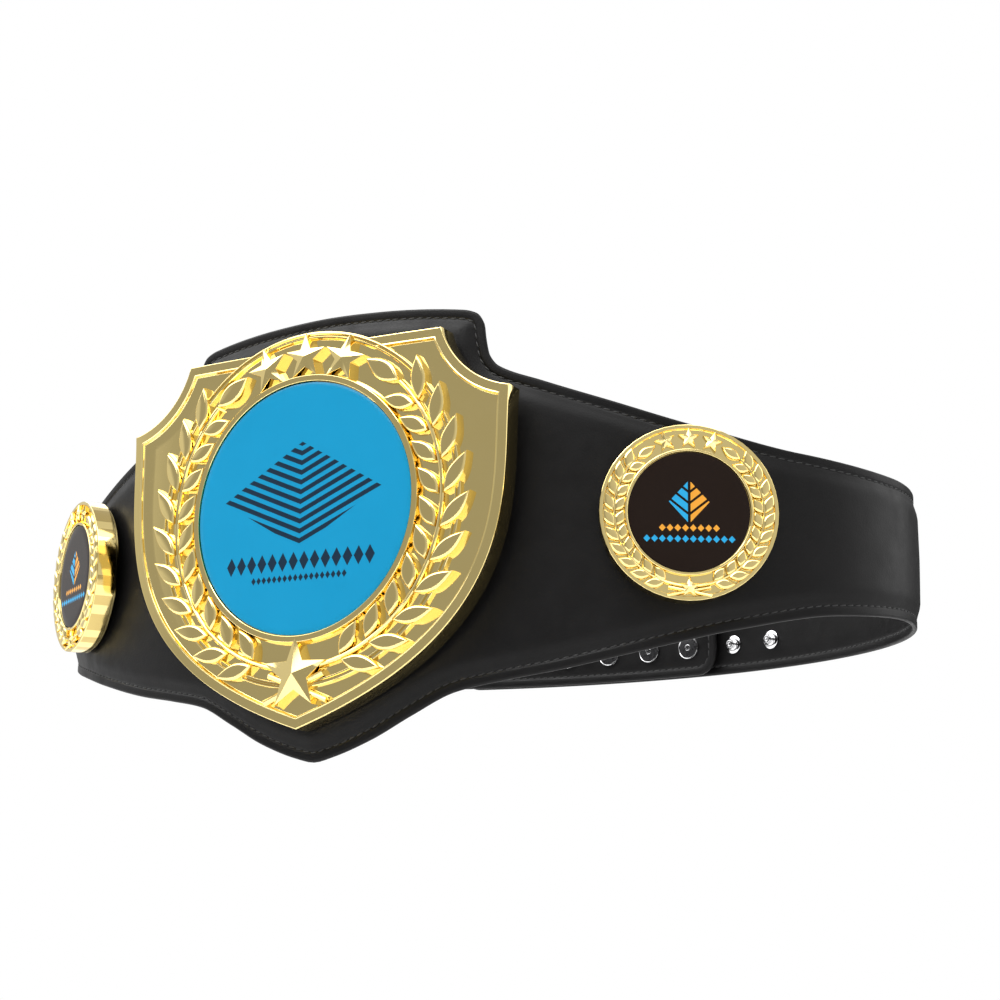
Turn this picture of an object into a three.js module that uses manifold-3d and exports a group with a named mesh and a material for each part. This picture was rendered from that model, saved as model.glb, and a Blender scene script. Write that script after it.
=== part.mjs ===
// Championship title belt: a padded leather band closed at the back by snaps, a shield plate in
// front and a round medallion on each side, all in millimetres with +Z up and the front facing -Y.
// The origin is the centre of the waist hollow, halfway up the straps.
import * as THREE from 'three';
import { mergeVertices } from 'three/addons/utils/BufferGeometryUtils.js';
import Module from 'manifold-3d';

const wasm = await Module();
wasm.setup();

// Waist loop, measured on the padded face of the leather
const loopHalfWidth = 227;
const loopFrontDepth = 129.5;
const loopBackDepth = 140;

// Leather band
const strapHeight = 62;
const crestRise = 74;
const tipDrop = 65.5;
const panelReach = 274;
const leatherThickness = 2.4;
const padHeight = 2;
const flangeWidth = 5;
const padShoulder = 3;
const padFade = 24;
const padStopToStud = 16;
const endRadius = 12;
const outerTail = 83;
const innerTail = 81;
const overlapRun = 90;

// Snaps
const snapPitch = 26;
const snapFirst = -40.4;
const snapPairs = 5;
const freeStuds = 2;
const snapRowSpacing = 32;
const strapGap = 3;
const capRadius = 6.25;
const capThickness = 1.3;
const studPostRadius = 2.4;
const studFlangeRadius = 4.6;
const studFlangeThickness = 0.6;
const studKnobRadius = 2.2;
const studKnobHeight = 3.1;
const socketWall = 2.3;
const socketTubeWall = 0.8;

// Shield plate
const discRadius = 57;
const discThickness = 1.6;
const discRise = 1.9;
const plateDepth = 11.4;
const plateBendRadius = 1190;
const plateAboveStrapCentre = 13.8;
const topHalfWidth = 68.6;
const topHeight = 73.8;
const shoulderHalfWidth = 101.5;
const shoulderHeight = 44.7;
const notchRadius = 41.5;
const pointDepth = 97.3;
const flankUpper = { out: 98, up: 1 };
const flankLower = { out: 114.6, up: -61 };
const rimWidth = 5;
const fieldDrop = 2;

// Raised work on the shield, as heights over its rim
const bezelWidth = 3;
const bezelRise = 2.6;
const leafRise = 2.8;
const stemRise = 2.2;
const ringRise = 0.8;
const starEdgeRise = 2.4;
const starPeakRise = 5.2;
const footPeakRise = 6.2;

// Medallions
const sideDiscRadius = 25.7;
const sideDiscThickness = 1.2;
const sideRadius = 37.5;
const sideDepth = 10.5;
const sideRimWidth = 2.4;
const sideFieldDrop = 1.4;
const sideDiscRise = 0.4;
const sideBezelWidth = 1.5;
const sideBezelRise = 0.8;
const sideLeafRise = 0.9;
const sideStemRise = 0.6;
const sideStarEdgeRise = 0.7;
const sideStarPeakRise = 1.9;
const sideAlong = 168.1;
const sideBelowDisc = 10.1;
const sideLean = THREE.MathUtils.degToRad(1.5);

// Screws that hold the plates
const screwRadius = 2;
const screwHeadRadius = 5;
const screwHeadThickness = 1.6;
const screwBite = 6;
const screwUp = 42;
const screwDown = 58;

// Fits: the medallions stand a little further off, because they lean on curved leather
const fitGap = 0.3;
const sideSeatGap = 0.4;
const sink = 0.6;
const cutOver = 2;

// How finely round work is cut into faces
const ringSides = 40;
const sideRingSides = 32;
const smallSides = 8;
const holeSides = 6;
const stemSteps = 10;
const sideStemSteps = 7;
const notchSteps = 6;
const flankSteps = 11;
const bendStep = 52;
const weldDistance = 1e-4;

// Forms of the raised work, as shares of a leaf's or star's own size
const leafTopShare = 0.62;
const leafBelly = 0.9;
const starWaist = 0.42;
const sharpestMitre = 0.35;

const strapTop = strapHeight / 2;
const padToInside = padHeight + leatherThickness;
const discCentreY = -loopFrontDepth - fitGap - plateDepth;
const rowNames = ['lower', 'upper'];

// Outline of the band: share of the reach from the front centre, share of the rise or drop
const crestRows = [
  { along: 0, share: 1 },
  { along: 0.105, share: 0.989 },
  { along: 0.252, share: 0.941 },
  { along: 0.275, share: 0.914 },
  { along: 0.289, share: 0.84 },
  { along: 0.2925, share: 0.745 },
  { along: 0.299, share: 0.645 },
  { along: 0.315, share: 0.575 },
  { along: 0.385, share: 0.473 },
  { along: 0.48, share: 0.353 },
  { along: 0.637, share: 0.174 },
  { along: 0.8, share: 0.047 },
  { along: 1, share: 0 },
];
const tipRows = [
  { along: 0, share: 1 },
  { along: 0.033, share: 0.972 },
  { along: 0.106, share: 0.865 },
  { along: 0.176, share: 0.718 },
  { along: 0.25, share: 0.575 },
  { along: 0.325, share: 0.512 },
  { along: 0.42, share: 0.445 },
  { along: 0.557, share: 0.318 },
  { along: 0.695, share: 0.184 },
  { along: 0.867, share: 0.056 },
  { along: 1.1, share: 0 },
];

// Spacing of the band's sections up to a share of the reach, finest at the steps of the outline
const stationRows = [
  { upTo: 0.22, step: 9.5 },
  { upTo: 0.34, step: 3.3 },
  { upTo: 0.5, step: 11 },
];
const strapStep = 18;
const overlapStep = 16;
const leastStep = 1;

// Laurel wreath, as angles from the top in degrees and radii in shares of the insert's radius
const wreath = {
  stem: 1.25, stemFrom: 44, stemTo: 172, stemWidth: 0.045,
  ringInner: 1.35, ringOuter: 1.41,
  firstBase: 54.8, pitch: 11.8, pairs: 10, sweep: 11.8,
  outerBase: 1.275, outerTip: 1.49, innerBase: 1.225, innerTip: 1.065,
  leafWidth: 0.125, endBase: 43.4, endTip: 26.8, endWidth: 0.15,
  starRadius: 1.2, starSpread: 17.5, starSize: 0.19, footStar: -1.29, footStarSize: 0.29,
  crossTop: 0.25, crossOut: 0.29, crossDown: -1.5, crossWidth: 0.055,
};
const sideWreath = {
  stem: 1.2, stemFrom: 44, stemTo: 168, stemWidth: 0.045,
  firstBase: 54.8, pitch: 11.8, pairs: 10, sweep: 11.8,
  outerBase: 1.225, outerTip: 1.385, innerBase: 1.175, innerTip: 1.075,
  leafWidth: 0.1, endBase: 43.4, endTip: 28, endWidth: 0.11,
  starRadius: 1.235, starSpread: 18, starSize: 0.15, footStar: -1.235, footStarSize: 0.15,
};

// Colours and finishes
const leather = new THREE.MeshStandardMaterial({ color: 0x232324, roughness: 0.5, metalness: 0 });
const gold = new THREE.MeshStandardMaterial({ color: 0xd9b65e, roughness: 0.12, metalness: 1 });
const bluePrint = new THREE.MeshStandardMaterial({ color: 0x23a2d6, roughness: 0.25, metalness: 0 });
const blackPrint = new THREE.MeshStandardMaterial({ color: 0x111013, roughness: 0.12, metalness: 0 });
const darkMetal = new THREE.MeshStandardMaterial({ color: 0x2b2b2d, roughness: 0.3, metalness: 0.8 });
const brightMetal = new THREE.MeshStandardMaterial({ color: 0xc9cacc, roughness: 0.2, metalness: 1 });

// A smooth curve through the rows that never overshoots them
function smoothRows(rows) {
  const count = rows.length;
  const slopes = [];
  for (let i = 0; i < count - 1; i += 1) {
    slopes.push((rows[i + 1].share - rows[i].share) / (rows[i + 1].along - rows[i].along));
  }
  const tangents = [0];
  for (let i = 1; i < count - 1; i += 1) {
    const product = slopes[i - 1] * slopes[i];
    tangents.push(product > 0 ? (2 * product) / (slopes[i - 1] + slopes[i]) : 0);
  }
  tangents.push(0);
  return (along) => {
    if (along >= rows[count - 1].along) return rows[count - 1].share;
    let i = 0;
    while (along > rows[i + 1].along) i += 1;
    const span = rows[i + 1].along - rows[i].along;
    const t = (along - rows[i].along) / span;
    const rise = rows[i].share * (1 + 2 * t) * (1 - t) ** 2 + rows[i + 1].share * t * t * (3 - 2 * t);
    return rise + span * (tangents[i] * t * (1 - t) ** 2 - tangents[i + 1] * t * t * (1 - t));
  };
}

// A length of the loop, from the front centre to the back centre, against its sweep angle
const loopSteps = 720;
const loopLengths = [0];
for (let i = 1; i <= loopSteps; i += 1) {
  const middle = ((i - 0.5) / loopSteps) * Math.PI;
  const depth = middle < Math.PI / 2 ? loopFrontDepth : loopBackDepth;
  const speed = Math.hypot(loopHalfWidth * Math.cos(middle), depth * Math.sin(middle));
  loopLengths.push(loopLengths[i - 1] + (speed * Math.PI) / loopSteps);
}
const halfLoop = loopLengths[loopSteps];

// The sweep angle at a distance along the leather, measured to the right from the front centre
function sweepAt(distance) {
  const folded = Math.min(Math.abs(distance), 2 * halfLoop - Math.abs(distance));
  let i = 0;
  while (i < loopSteps - 1 && loopLengths[i + 1] < folded) i += 1;
  const part = (folded - loopLengths[i]) / (loopLengths[i + 1] - loopLengths[i]);
  const angle = ((i + part) / loopSteps) * Math.PI;
  const whole = Math.abs(distance) > halfLoop ? 2 * Math.PI - angle : angle;
  return Math.sign(distance) * whole;
}

// The point of the padded face at a distance along the loop, with its outward direction
function loopPoint(distance) {
  const angle = sweepAt(distance);
  const depth = Math.cos(angle) > 0 ? loopFrontDepth : loopBackDepth;
  const x = loopHalfWidth * Math.sin(angle);
  const y = -depth * Math.cos(angle);
  const out = new THREE.Vector2(x / loopHalfWidth ** 2, y / depth ** 2).normalize();
  return { x, y, out };
}

const crestShare = smoothRows(crestRows);
const tipShare = smoothRows(tipRows);
const outerEnd = halfLoop + outerTail;
const innerEnd = halfLoop + innerTail;
const padEnd = halfLoop - snapFirst - (snapPairs + freeStuds - 1) * snapPitch - padStopToStud;

// What a rounded strap end takes off the top and bottom edges
function endCut(distance) {
  const toEnd = distance > 0 ? outerEnd - distance : innerEnd + distance;
  if (toEnd >= endRadius) return 0;
  return endRadius - Math.sqrt(Math.max(0, endRadius ** 2 - (endRadius - toEnd) ** 2));
}

function topEdge(distance) {
  return strapTop + crestRise * crestShare(Math.abs(distance) / panelReach) - endCut(distance);
}

function bottomEdge(distance) {
  return -strapTop - tipDrop * tipShare(Math.abs(distance) / panelReach) + endCut(distance);
}

// The edge moved in by the flange's width, square to the outline
function insetEdge(edge, distance, width, side) {
  const samples = 12;
  let best = -Infinity;
  for (let i = -samples; i <= samples; i += 1) {
    const across = (width * i) / samples;
    const reach = Math.sqrt(width * width - across * across);
    best = Math.max(best, -side * edge(distance + across) + reach);
  }
  return -side * best;
}

function easeStep(value) {
  const t = THREE.MathUtils.clamp(value, 0, 1);
  return t * t * (3 - 2 * t);
}

// How far the leather lies inside the padded line: the inner strap runs under the outer one
function strapInset(distance) {
  const overlapStart = 2 * halfLoop - outerEnd;
  const under = easeStep((-distance - overlapStart + overlapRun) / overlapRun);
  return under * (leatherThickness + strapGap);
}

function padAt(distance) {
  return padHeight * easeStep((padEnd - Math.abs(distance)) / padFade);
}

// One section of the band: the padded outer side going up, then the flat inner side
function bandSection(distance) {
  const { x, y, out } = loopPoint(distance);
  const top = topEdge(distance);
  const bottom = bottomEdge(distance);
  const padTop = Math.max(insetEdge(topEdge, distance, flangeWidth, 1), flangeWidth);
  const padBottom = Math.min(insetEdge(bottomEdge, distance, flangeWidth, -1), -flangeWidth);
  const face = padHeight + strapInset(distance);
  const proud = face - padAt(distance);
  const inside = face + leatherThickness;
  const corners = [
    [face, bottom], [face, padBottom], [proud, padBottom + padShoulder], [proud, padTop - padShoulder],
    [face, padTop], [face, top], [inside, top], [inside, bottom],
  ];
  return corners.map(([inset, z]) => [x - out.x * inset, y - out.y * inset, z]);
}

// Where the sections stand: close together at the steps of the outline and in the snap zone
function bandStations() {
  const half = [];
  const stretches = [
    ...stationRows.map(({ upTo, step }) => ({ to: upTo * panelReach, step })),
    { to: halfLoop - overlapRun, step: strapStep },
    { to: halfLoop + Math.min(outerTail, innerTail) - endRadius, step: overlapStep },
  ];
  let from = 0;
  stretches.forEach(({ to, step }) => {
    const count = Math.max(1, Math.round((to - from) / step));
    for (let i = 1; i <= count; i += 1) half.push(from + ((to - from) * i) / count);
    from = to;
  });
  const ending = (end) => [0.8, 0.35, 0.08, 0].map((share) => end - share * endRadius);
  const right = half.concat(ending(outerEnd).filter((s) => s > from + leastStep));
  const left = half.concat(ending(innerEnd).filter((s) => s > from + leastStep));
  return left.map((s) => -s).reverse().concat([0], right);
}

// Geometry from points and triangles, turned to face out
function meshFrom(points, triangles) {
  const geometry = new THREE.BufferGeometry();
  geometry.setAttribute('position', new THREE.Float32BufferAttribute(points.flat(), 3));
  geometry.setIndex(triangles.flat());
  return geometry;
}

function solidOf(geometry) {
  const bare = geometry.clone();
  bare.deleteAttribute('normal');
  bare.deleteAttribute('uv');
  const merged = mergeVertices(bare, weldDistance);
  const corners = merged.index.array;
  const kept = [];
  for (let i = 0; i < corners.length; i += 3) {
    const [a, b, c] = [corners[i], corners[i + 1], corners[i + 2]];
    if (a !== b && b !== c && c !== a) kept.push(a, b, c);
  }
  const build = (order) => new wasm.Manifold(new wasm.Mesh({
    numProp: 3,
    vertProperties: new Float32Array(merged.attributes.position.array),
    triVerts: new Uint32Array(order),
  }));
  const solid = build(kept);
  if (solid.volume() > 0) return solid;
  return build(kept.slice().reverse());
}

function geometryOf(solid) {
  const mesh = solid.getMesh();
  const geometry = new THREE.BufferGeometry();
  geometry.setAttribute('position', new THREE.BufferAttribute(mesh.vertProperties.slice(), 3));
  geometry.setIndex(new THREE.BufferAttribute(mesh.triVerts.slice(), 1));
  geometry.computeVertexNormals();
  return geometry;
}

function joined(solids) {
  return solids.reduce((whole, solid) => whole.add(solid));
}

function bandSolid() {
  const sections = bandStations().map(bandSection);
  const width = sections[0].length;
  const triangles = [];
  for (let i = 0; i < sections.length - 1; i += 1) {
    for (let j = 0; j < width; j += 1) {
      const a = i * width + j;
      const b = i * width + ((j + 1) % width);
      triangles.push([a, b, b + width], [a, b + width, a + width]);
    }
  }
  const last = (sections.length - 1) * width;
  for (let j = 0; j < width - 2; j += 1) {
    triangles.push([width - 1, j + 1, j]);
    triangles.push([last + width - 1, last + j, last + j + 1]);
  }
  return solidOf(meshFrom(sections.flat(), triangles));
}

// Flat work: X to the right, Y up and Z towards the viewer, measured from the rim's face
function prism(points, low, high) {
  const shape = new THREE.Shape(points);
  const geometry = new THREE.ExtrudeGeometry(shape, { depth: high - low, bevelEnabled: false });
  geometry.translate(0, 0, low);
  return solidOf(geometry);
}

// A body with sloped sides, from a lower outline to an upper one with as many points
function tapered(lower, low, upper, high) {
  const count = lower.length;
  const rows = [lower.map((p) => [p.x, p.y, low]), upper.map((p) => [p.x, p.y, high])];
  const triangles = [];
  for (let i = 0; i < count; i += 1) {
    const j = (i + 1) % count;
    triangles.push([i, j, j + count], [i, j + count, i + count]);
  }
  THREE.ShapeUtils.triangulateShape(upper, []).forEach((t) => triangles.push(t.map((k) => k + count)));
  THREE.ShapeUtils.triangulateShape(lower, []).forEach(([a, b, c]) => triangles.push([c, b, a]));
  return solidOf(meshFrom(rows.flat(), triangles));
}

// A body with a peak over its centre, and upright sides below its edge where that is above the base
function peaked(points, low, edge, centre, peak) {
  const count = points.length;
  const rows = [points.map((p) => [p.x, p.y, low])];
  if (edge > low) rows.push(points.map((p) => [p.x, p.y, edge]));
  const under = (rows.length - 1) * count;
  rows.push([[centre.x, centre.y, peak]]);
  const triangles = [];
  for (let i = 0; i < count; i += 1) {
    const j = (i + 1) % count;
    if (under) triangles.push([i, j, j + count], [i, j + count, i + count]);
    triangles.push([under + i, under + j, under + count]);
  }
  THREE.ShapeUtils.triangulateShape(points, []).forEach(([a, b, c]) => triangles.push([c, b, a]));
  return solidOf(meshFrom(rows.flat(), triangles));
}

function circle(radius, sides) {
  const points = [];
  for (let i = 0; i < sides; i += 1) {
    const angle = ((i + 0.5) / sides) * 2 * Math.PI;
    points.push(new THREE.Vector2(radius * Math.cos(angle), radius * Math.sin(angle)));
  }
  return points;
}

function ringBody(inner, outer, low, high, sides) {
  const hole = prism(circle(inner, sides), low - cutOver, high + cutOver);
  return prism(circle(outer, sides), low, high).subtract(hole);
}

// A point at an angle from the top, turning to the right when side is 1 and to the left when -1
function around(radius, degrees, side) {
  const angle = THREE.MathUtils.degToRad(degrees);
  return new THREE.Vector2(side * radius * Math.sin(angle), radius * Math.cos(angle));
}

// A raised leaf with a flat top: its sides are two bows that meet in sharp ends
function leaf(base, tip, width, low, high) {
  const steps = 3;
  const axis = tip.clone().sub(base);
  const across = new THREE.Vector2(-axis.y, axis.x).normalize();
  const outline = (scale) => {
    const right = [];
    const left = [];
    for (let i = 1; i < steps; i += 1) {
      const share = i / steps;
      const half = scale * 0.5 * width * Math.sin(Math.PI * share ** leafBelly);
      const middle = base.clone().addScaledVector(axis, 0.5 + (share - 0.5) * scale);
      right.push(middle.clone().addScaledVector(across, -half));
      left.unshift(middle.clone().addScaledVector(across, half));
    }
    const start = base.clone().addScaledVector(axis, 0.5 - 0.5 * scale);
    const end = base.clone().addScaledVector(axis, 0.5 + 0.5 * scale);
    return [start, ...right, end, ...left];
  };
  return tapered(outline(1), low, outline(leafTopShare), high);
}

// A small leaf in low relief: four faces that rise from a pointed outline to one peak
function smallLeaf(base, tip, width, low, high) {
  const middle = base.clone().add(tip).multiplyScalar(0.5);
  const axis = tip.clone().sub(base);
  const across = new THREE.Vector2(-axis.y, axis.x).setLength(width / 2);
  return peaked([base, middle.clone().sub(across), tip, middle.clone().add(across)], low, low, middle, high);
}

function star(centre, size, turn, low, edge, peak) {
  const inner = size * starWaist;
  const points = [];
  for (let i = 0; i < 10; i += 1) {
    const radius = i % 2 === 0 ? size : inner;
    const angle = Math.PI / 2 + turn + (i * Math.PI) / 5;
    points.push(new THREE.Vector2(centre.x + radius * Math.cos(angle), centre.y + radius * Math.sin(angle)));
  }
  return peaked(points, low, edge, centre, peak);
}

// A raised bar along a run of points
function bar(points, width, low, high) {
  const left = [];
  const right = [];
  points.forEach((point, i) => {
    const before = points[Math.max(0, i - 1)];
    const after = points[Math.min(points.length - 1, i + 1)];
    const across = new THREE.Vector2(before.y - after.y, after.x - before.x).normalize();
    left.unshift(point.clone().addScaledVector(across, width / 2));
    right.push(point.clone().addScaledVector(across, -width / 2));
  });
  return prism(right.concat(left), low, high);
}

// Both branches of a wreath, its stars and its crossed stem ends, over a field
function wreathBodies(plan, unit, field, rises, leafBody, steps) {
  const low = field - sink;
  const bodies = [];
  [1, -1].forEach((side) => {
    const stem = [];
    for (let i = 0; i <= steps; i += 1) {
      const degrees = plan.stemFrom + ((plan.stemTo - plan.stemFrom) * i) / steps;
      stem.push(around(plan.stem * unit, degrees, side));
    }
    bodies.push(bar(stem, plan.stemWidth * unit, low, rises.stem));
    for (let i = 0; i < plan.pairs; i += 1) {
      const base = plan.firstBase + i * plan.pitch;
      const tip = base - plan.sweep;
      const width = plan.leafWidth * unit;
      const outer = [around(plan.outerBase * unit, base, side), around(plan.outerTip * unit, tip, side)];
      const inner = [around(plan.innerBase * unit, base, side), around(plan.innerTip * unit, tip, side)];
      bodies.push(leafBody(...outer, width, low, rises.leaf));
      bodies.push(leafBody(...inner, width, low, rises.leaf));
    }
    const end = [around(plan.stem * unit, plan.endBase, side), around(plan.stem * unit, plan.endTip, side)];
    bodies.push(leafBody(...end, plan.endWidth * unit, low, rises.leaf));
    if (plan.crossWidth) {
      const from = new THREE.Vector2(side * plan.crossTop * unit, plan.footStar * unit);
      const to = new THREE.Vector2(-side * plan.crossOut * unit, plan.crossDown * unit);
      bodies.push(bar([from, to], plan.crossWidth * unit, low, rises.stem));
    }
  });
  [-1, 0, 1].forEach((place) => {
    const centre = around(plan.starRadius * unit, plan.starSpread * Math.abs(place), Math.sign(place));
    const turn = -place * THREE.MathUtils.degToRad(plan.starSpread);
    bodies.push(star(centre, plan.starSize * unit, turn, low, rises.starEdge, rises.starPeak));
  });
  const foot = new THREE.Vector2(0, plan.footStar * unit);
  bodies.push(star(foot, plan.footStarSize * unit, 0, low, rises.starEdge, rises.footPeak));
  return bodies;
}

// The shield's outline, the right half from the top centre to the point and mirrored
function shieldOutline() {
  const top = new THREE.Vector2(topHalfWidth, topHeight);
  const shoulder = new THREE.Vector2(shoulderHalfWidth, shoulderHeight);
  const chord = shoulder.clone().sub(top);
  const lift = Math.sqrt(notchRadius ** 2 - chord.lengthSq() / 4);
  const across = new THREE.Vector2(-chord.y, chord.x).normalize();
  const centre = top.clone().add(shoulder).multiplyScalar(0.5).addScaledVector(across, lift);
  const start = Math.atan2(top.y - centre.y, top.x - centre.x);
  const finish = Math.atan2(shoulder.y - centre.y, shoulder.x - centre.x);
  const turn = THREE.MathUtils.euclideanModulo(finish - start, 2 * Math.PI);
  const half = [];
  for (let i = 0; i <= notchSteps; i += 1) {
    const angle = start + (turn * i) / notchSteps;
    half.push(new THREE.Vector2(
      centre.x + notchRadius * Math.cos(angle),
      centre.y + notchRadius * Math.sin(angle),
    ));
  }
  const flank = new THREE.CubicBezierCurve(
    shoulder,
    new THREE.Vector2(flankUpper.out, flankUpper.up),
    new THREE.Vector2(flankLower.out, flankLower.up),
    new THREE.Vector2(0, -pointDepth),
  );
  half.push(...flank.getPoints(flankSteps).slice(1));
  const mirrored = half.slice(0, -1).reverse().map((p) => new THREE.Vector2(-p.x, p.y));
  return half.concat(mirrored).reverse();
}

// The outline moved in by a width, square to its edges
function insetOutline(points, width) {
  const count = points.length;
  return points.map((point, i) => {
    const before = point.clone().sub(points[(i + count - 1) % count]).normalize();
    const after = points[(i + 1) % count].clone().sub(point).normalize();
    const inward = new THREE.Vector2(-before.y - after.y, before.x + after.x).normalize();
    const mitre = Math.max(sharpestMitre, -inward.x * before.y + inward.y * before.x);
    return point.clone().addScaledVector(inward, width / mitre);
  });
}

// The shield bent round the body: long edges are halved first, so that they follow the bend
function bent(solid) {
  let points = [];
  let triangles = [];
  const mesh = solid.getMesh();
  for (let i = 0; i < mesh.vertProperties.length; i += 3) {
    points.push(Array.from(mesh.vertProperties.slice(i, i + 3)));
  }
  for (let i = 0; i < mesh.triVerts.length; i += 3) triangles.push(Array.from(mesh.triVerts.slice(i, i + 3)));
  let changed = true;
  while (changed) {
    changed = false;
    const middles = new Map();
    const next = [];
    const middleOf = (a, b) => {
      const key = a < b ? `${a}_${b}` : `${b}_${a}`;
      if (Math.abs(points[a][0] - points[b][0]) <= bendStep) return -1;
      if (!middles.has(key)) {
        middles.set(key, points.length);
        points.push([0, 1, 2].map((k) => (points[a][k] + points[b][k]) / 2));
      }
      return middles.get(key);
    };
    triangles.forEach(([a, b, c]) => {
      const cuts = [middleOf(a, b), middleOf(b, c), middleOf(c, a)];
      const number = cuts.filter((m) => m >= 0).length;
      if (number === 0) {
        next.push([a, b, c]);
        return;
      }
      changed = true;
      const loop = [a, cuts[0], b, cuts[1], c, cuts[2]];
      if (number === 3) {
        next.push([a, cuts[0], cuts[2]], [cuts[0], b, cuts[1]], [cuts[2], cuts[1], c], cuts);
        return;
      }
      const first = [1, 3, 5].find((k) => loop[k] >= 0 && (number === 1 || loop[(k + 4) % 6] < 0));
      const ordered = loop.slice(first).concat(loop.slice(0, first)).filter((k) => k >= 0);
      for (let k = 1; k < ordered.length - 1; k += 1) next.push([ordered[0], ordered[k], ordered[k + 1]]);
    });
    triangles = next;
  }
  points = points.map(([x, up, rise]) => {
    const angle = x / plateBendRadius;
    const reach = plateBendRadius + rise;
    return [
      reach * Math.sin(angle),
      discCentreY + plateBendRadius - reach * Math.cos(angle),
      plateAboveStrapCentre + up,
    ];
  });
  return solidOf(meshFrom(points, triangles));
}

// A turned piece on an axis that leaves a point in a direction
function turned(profile, sides, point, direction) {
  const geometry = new THREE.LatheGeometry(profile.map(([r, along]) => new THREE.Vector2(r, along)), sides);
  const turn = new THREE.Quaternion().setFromUnitVectors(new THREE.Vector3(0, 1, 0), direction);
  geometry.applyQuaternion(turn);
  geometry.translate(point.x, point.y, point.z);
  return solidOf(geometry);
}

// A cutting body that leaves the fit gap round a pin
function pinHole(radius, from, to, point, direction) {
  const wide = (radius + fitGap) / Math.cos(Math.PI / holeSides);
  return turned([[0, from], [wide, from], [wide, to], [0, to]], holeSides, point, direction);
}

// Depths below the padded line in the snap zone, from the outside in
const outerFace = padHeight;
const outerInside = outerFace + leatherThickness;
const innerFace = outerInside + strapGap;
const innerInside = innerFace + leatherThickness;
const studTip = outerInside + fitGap + studFlangeThickness + studKnobHeight;
const socketFloor = studTip + fitGap;
const socketBore = studKnobRadius + fitGap;
const socketTube = socketBore + socketTubeWall;
const socketLip = outerInside + 2 * fitGap + studFlangeThickness;

function snapPlace(column, row) {
  const distance = halfLoop - snapFirst - column * snapPitch;
  const { x, y, out } = loopPoint(distance);
  const height = (row - (rowNames.length - 1) / 2) * snapRowSpacing;
  return {
    point: new THREE.Vector3(x, y, height),
    direction: new THREE.Vector3(-out.x, -out.y, 0),
  };
}

function studSolid(place) {
  const capTop = outerFace - fitGap - capThickness;
  const capUnder = outerFace - fitGap;
  const flange = outerInside + fitGap;
  return turned([
    [0, capTop], [capRadius, capTop], [capRadius, capUnder], [studPostRadius, capUnder],
    [studPostRadius, flange], [studFlangeRadius, flange], [studFlangeRadius, flange + studFlangeThickness],
    [studKnobRadius, flange + studFlangeThickness], [studKnobRadius, studTip], [0, studTip],
  ], smallSides, place.point, place.direction);
}

function capSolid(place) {
  const seat = innerInside + fitGap;
  const rim = socketBore + socketWall;
  return turned([
    [0, socketFloor], [socketBore, socketFloor], [socketBore, socketLip], [rim, socketLip],
    [rim, innerFace - fitGap], [socketTube, innerFace - fitGap], [socketTube, seat],
    [capRadius, seat], [capRadius, seat + capThickness], [0, seat + capThickness],
  ], smallSides, place.point, place.direction);
}

function screwSolid(screw) {
  const under = screw.headDepth;
  return turned([
    [0, screw.tip], [screwRadius, screw.tip], [screwRadius, under],
    [screwHeadRadius, under], [screwHeadRadius, under + screwHeadThickness], [0, under + screwHeadThickness],
  ], smallSides, screw.point, screw.direction);
}

const sideHeight = plateAboveStrapCentre - sideBelowDisc;

// The middle of a medallion's front face, the way it faces and how far it is turned from the front
function sideFrame(side) {
  const { x, y, out } = loopPoint(side * sideAlong);
  const turn = side * (Math.atan2(Math.abs(out.x), -out.y) + sideLean);
  const facing = new THREE.Vector3(Math.sin(turn), -Math.cos(turn), 0);
  const seat = new THREE.Vector3(x, y, sideHeight);
  return { seat, facing, turn, point: seat.clone().addScaledVector(facing, sideDepth + sideSeatGap) };
}

function screwPlaces() {
  const inward = new THREE.Vector3(0, 1, 0);
  const front = new THREE.Vector3(0, -loopFrontDepth, 0);
  const screws = [
    { name: 'plate_screw_upper', point: front.clone().setZ(screwUp), direction: inward },
    { name: 'plate_screw_lower', point: front.clone().setZ(-screwDown), direction: inward },
  ];
  [['side_screw_right', 1], ['side_screw_left', -1]].forEach(([name, side]) => {
    const { seat, facing } = sideFrame(side);
    screws.push({ name, point: seat, direction: facing.clone().negate() });
  });
  screws.forEach((screw) => Object.assign(screw, {
    tip: -fitGap - screwBite,
    headDepth: padToInside + 2 * fitGap,
  }));
  return screws;
}

const screws = screwPlaces();

function beltBand() {
  let solid = bandSolid();
  rowNames.forEach((word, row) => {
    for (let column = 0; column < snapPairs + freeStuds; column += 1) {
      const { point, direction } = snapPlace(column, row);
      const middle = outerInside + strapGap / 2;
      solid = solid.subtract(pinHole(studPostRadius, 0, middle, point, direction));
      if (column < snapPairs) {
        solid = solid.subtract(pinHole(socketTube, middle, innerInside + cutOver, point, direction));
      }
    }
  });
  screws.forEach(({ point, direction }) => {
    solid = solid.subtract(pinHole(screwRadius, -cutOver, padToInside + cutOver, point, direction));
  });
  return geometryOf(solid);
}

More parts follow.
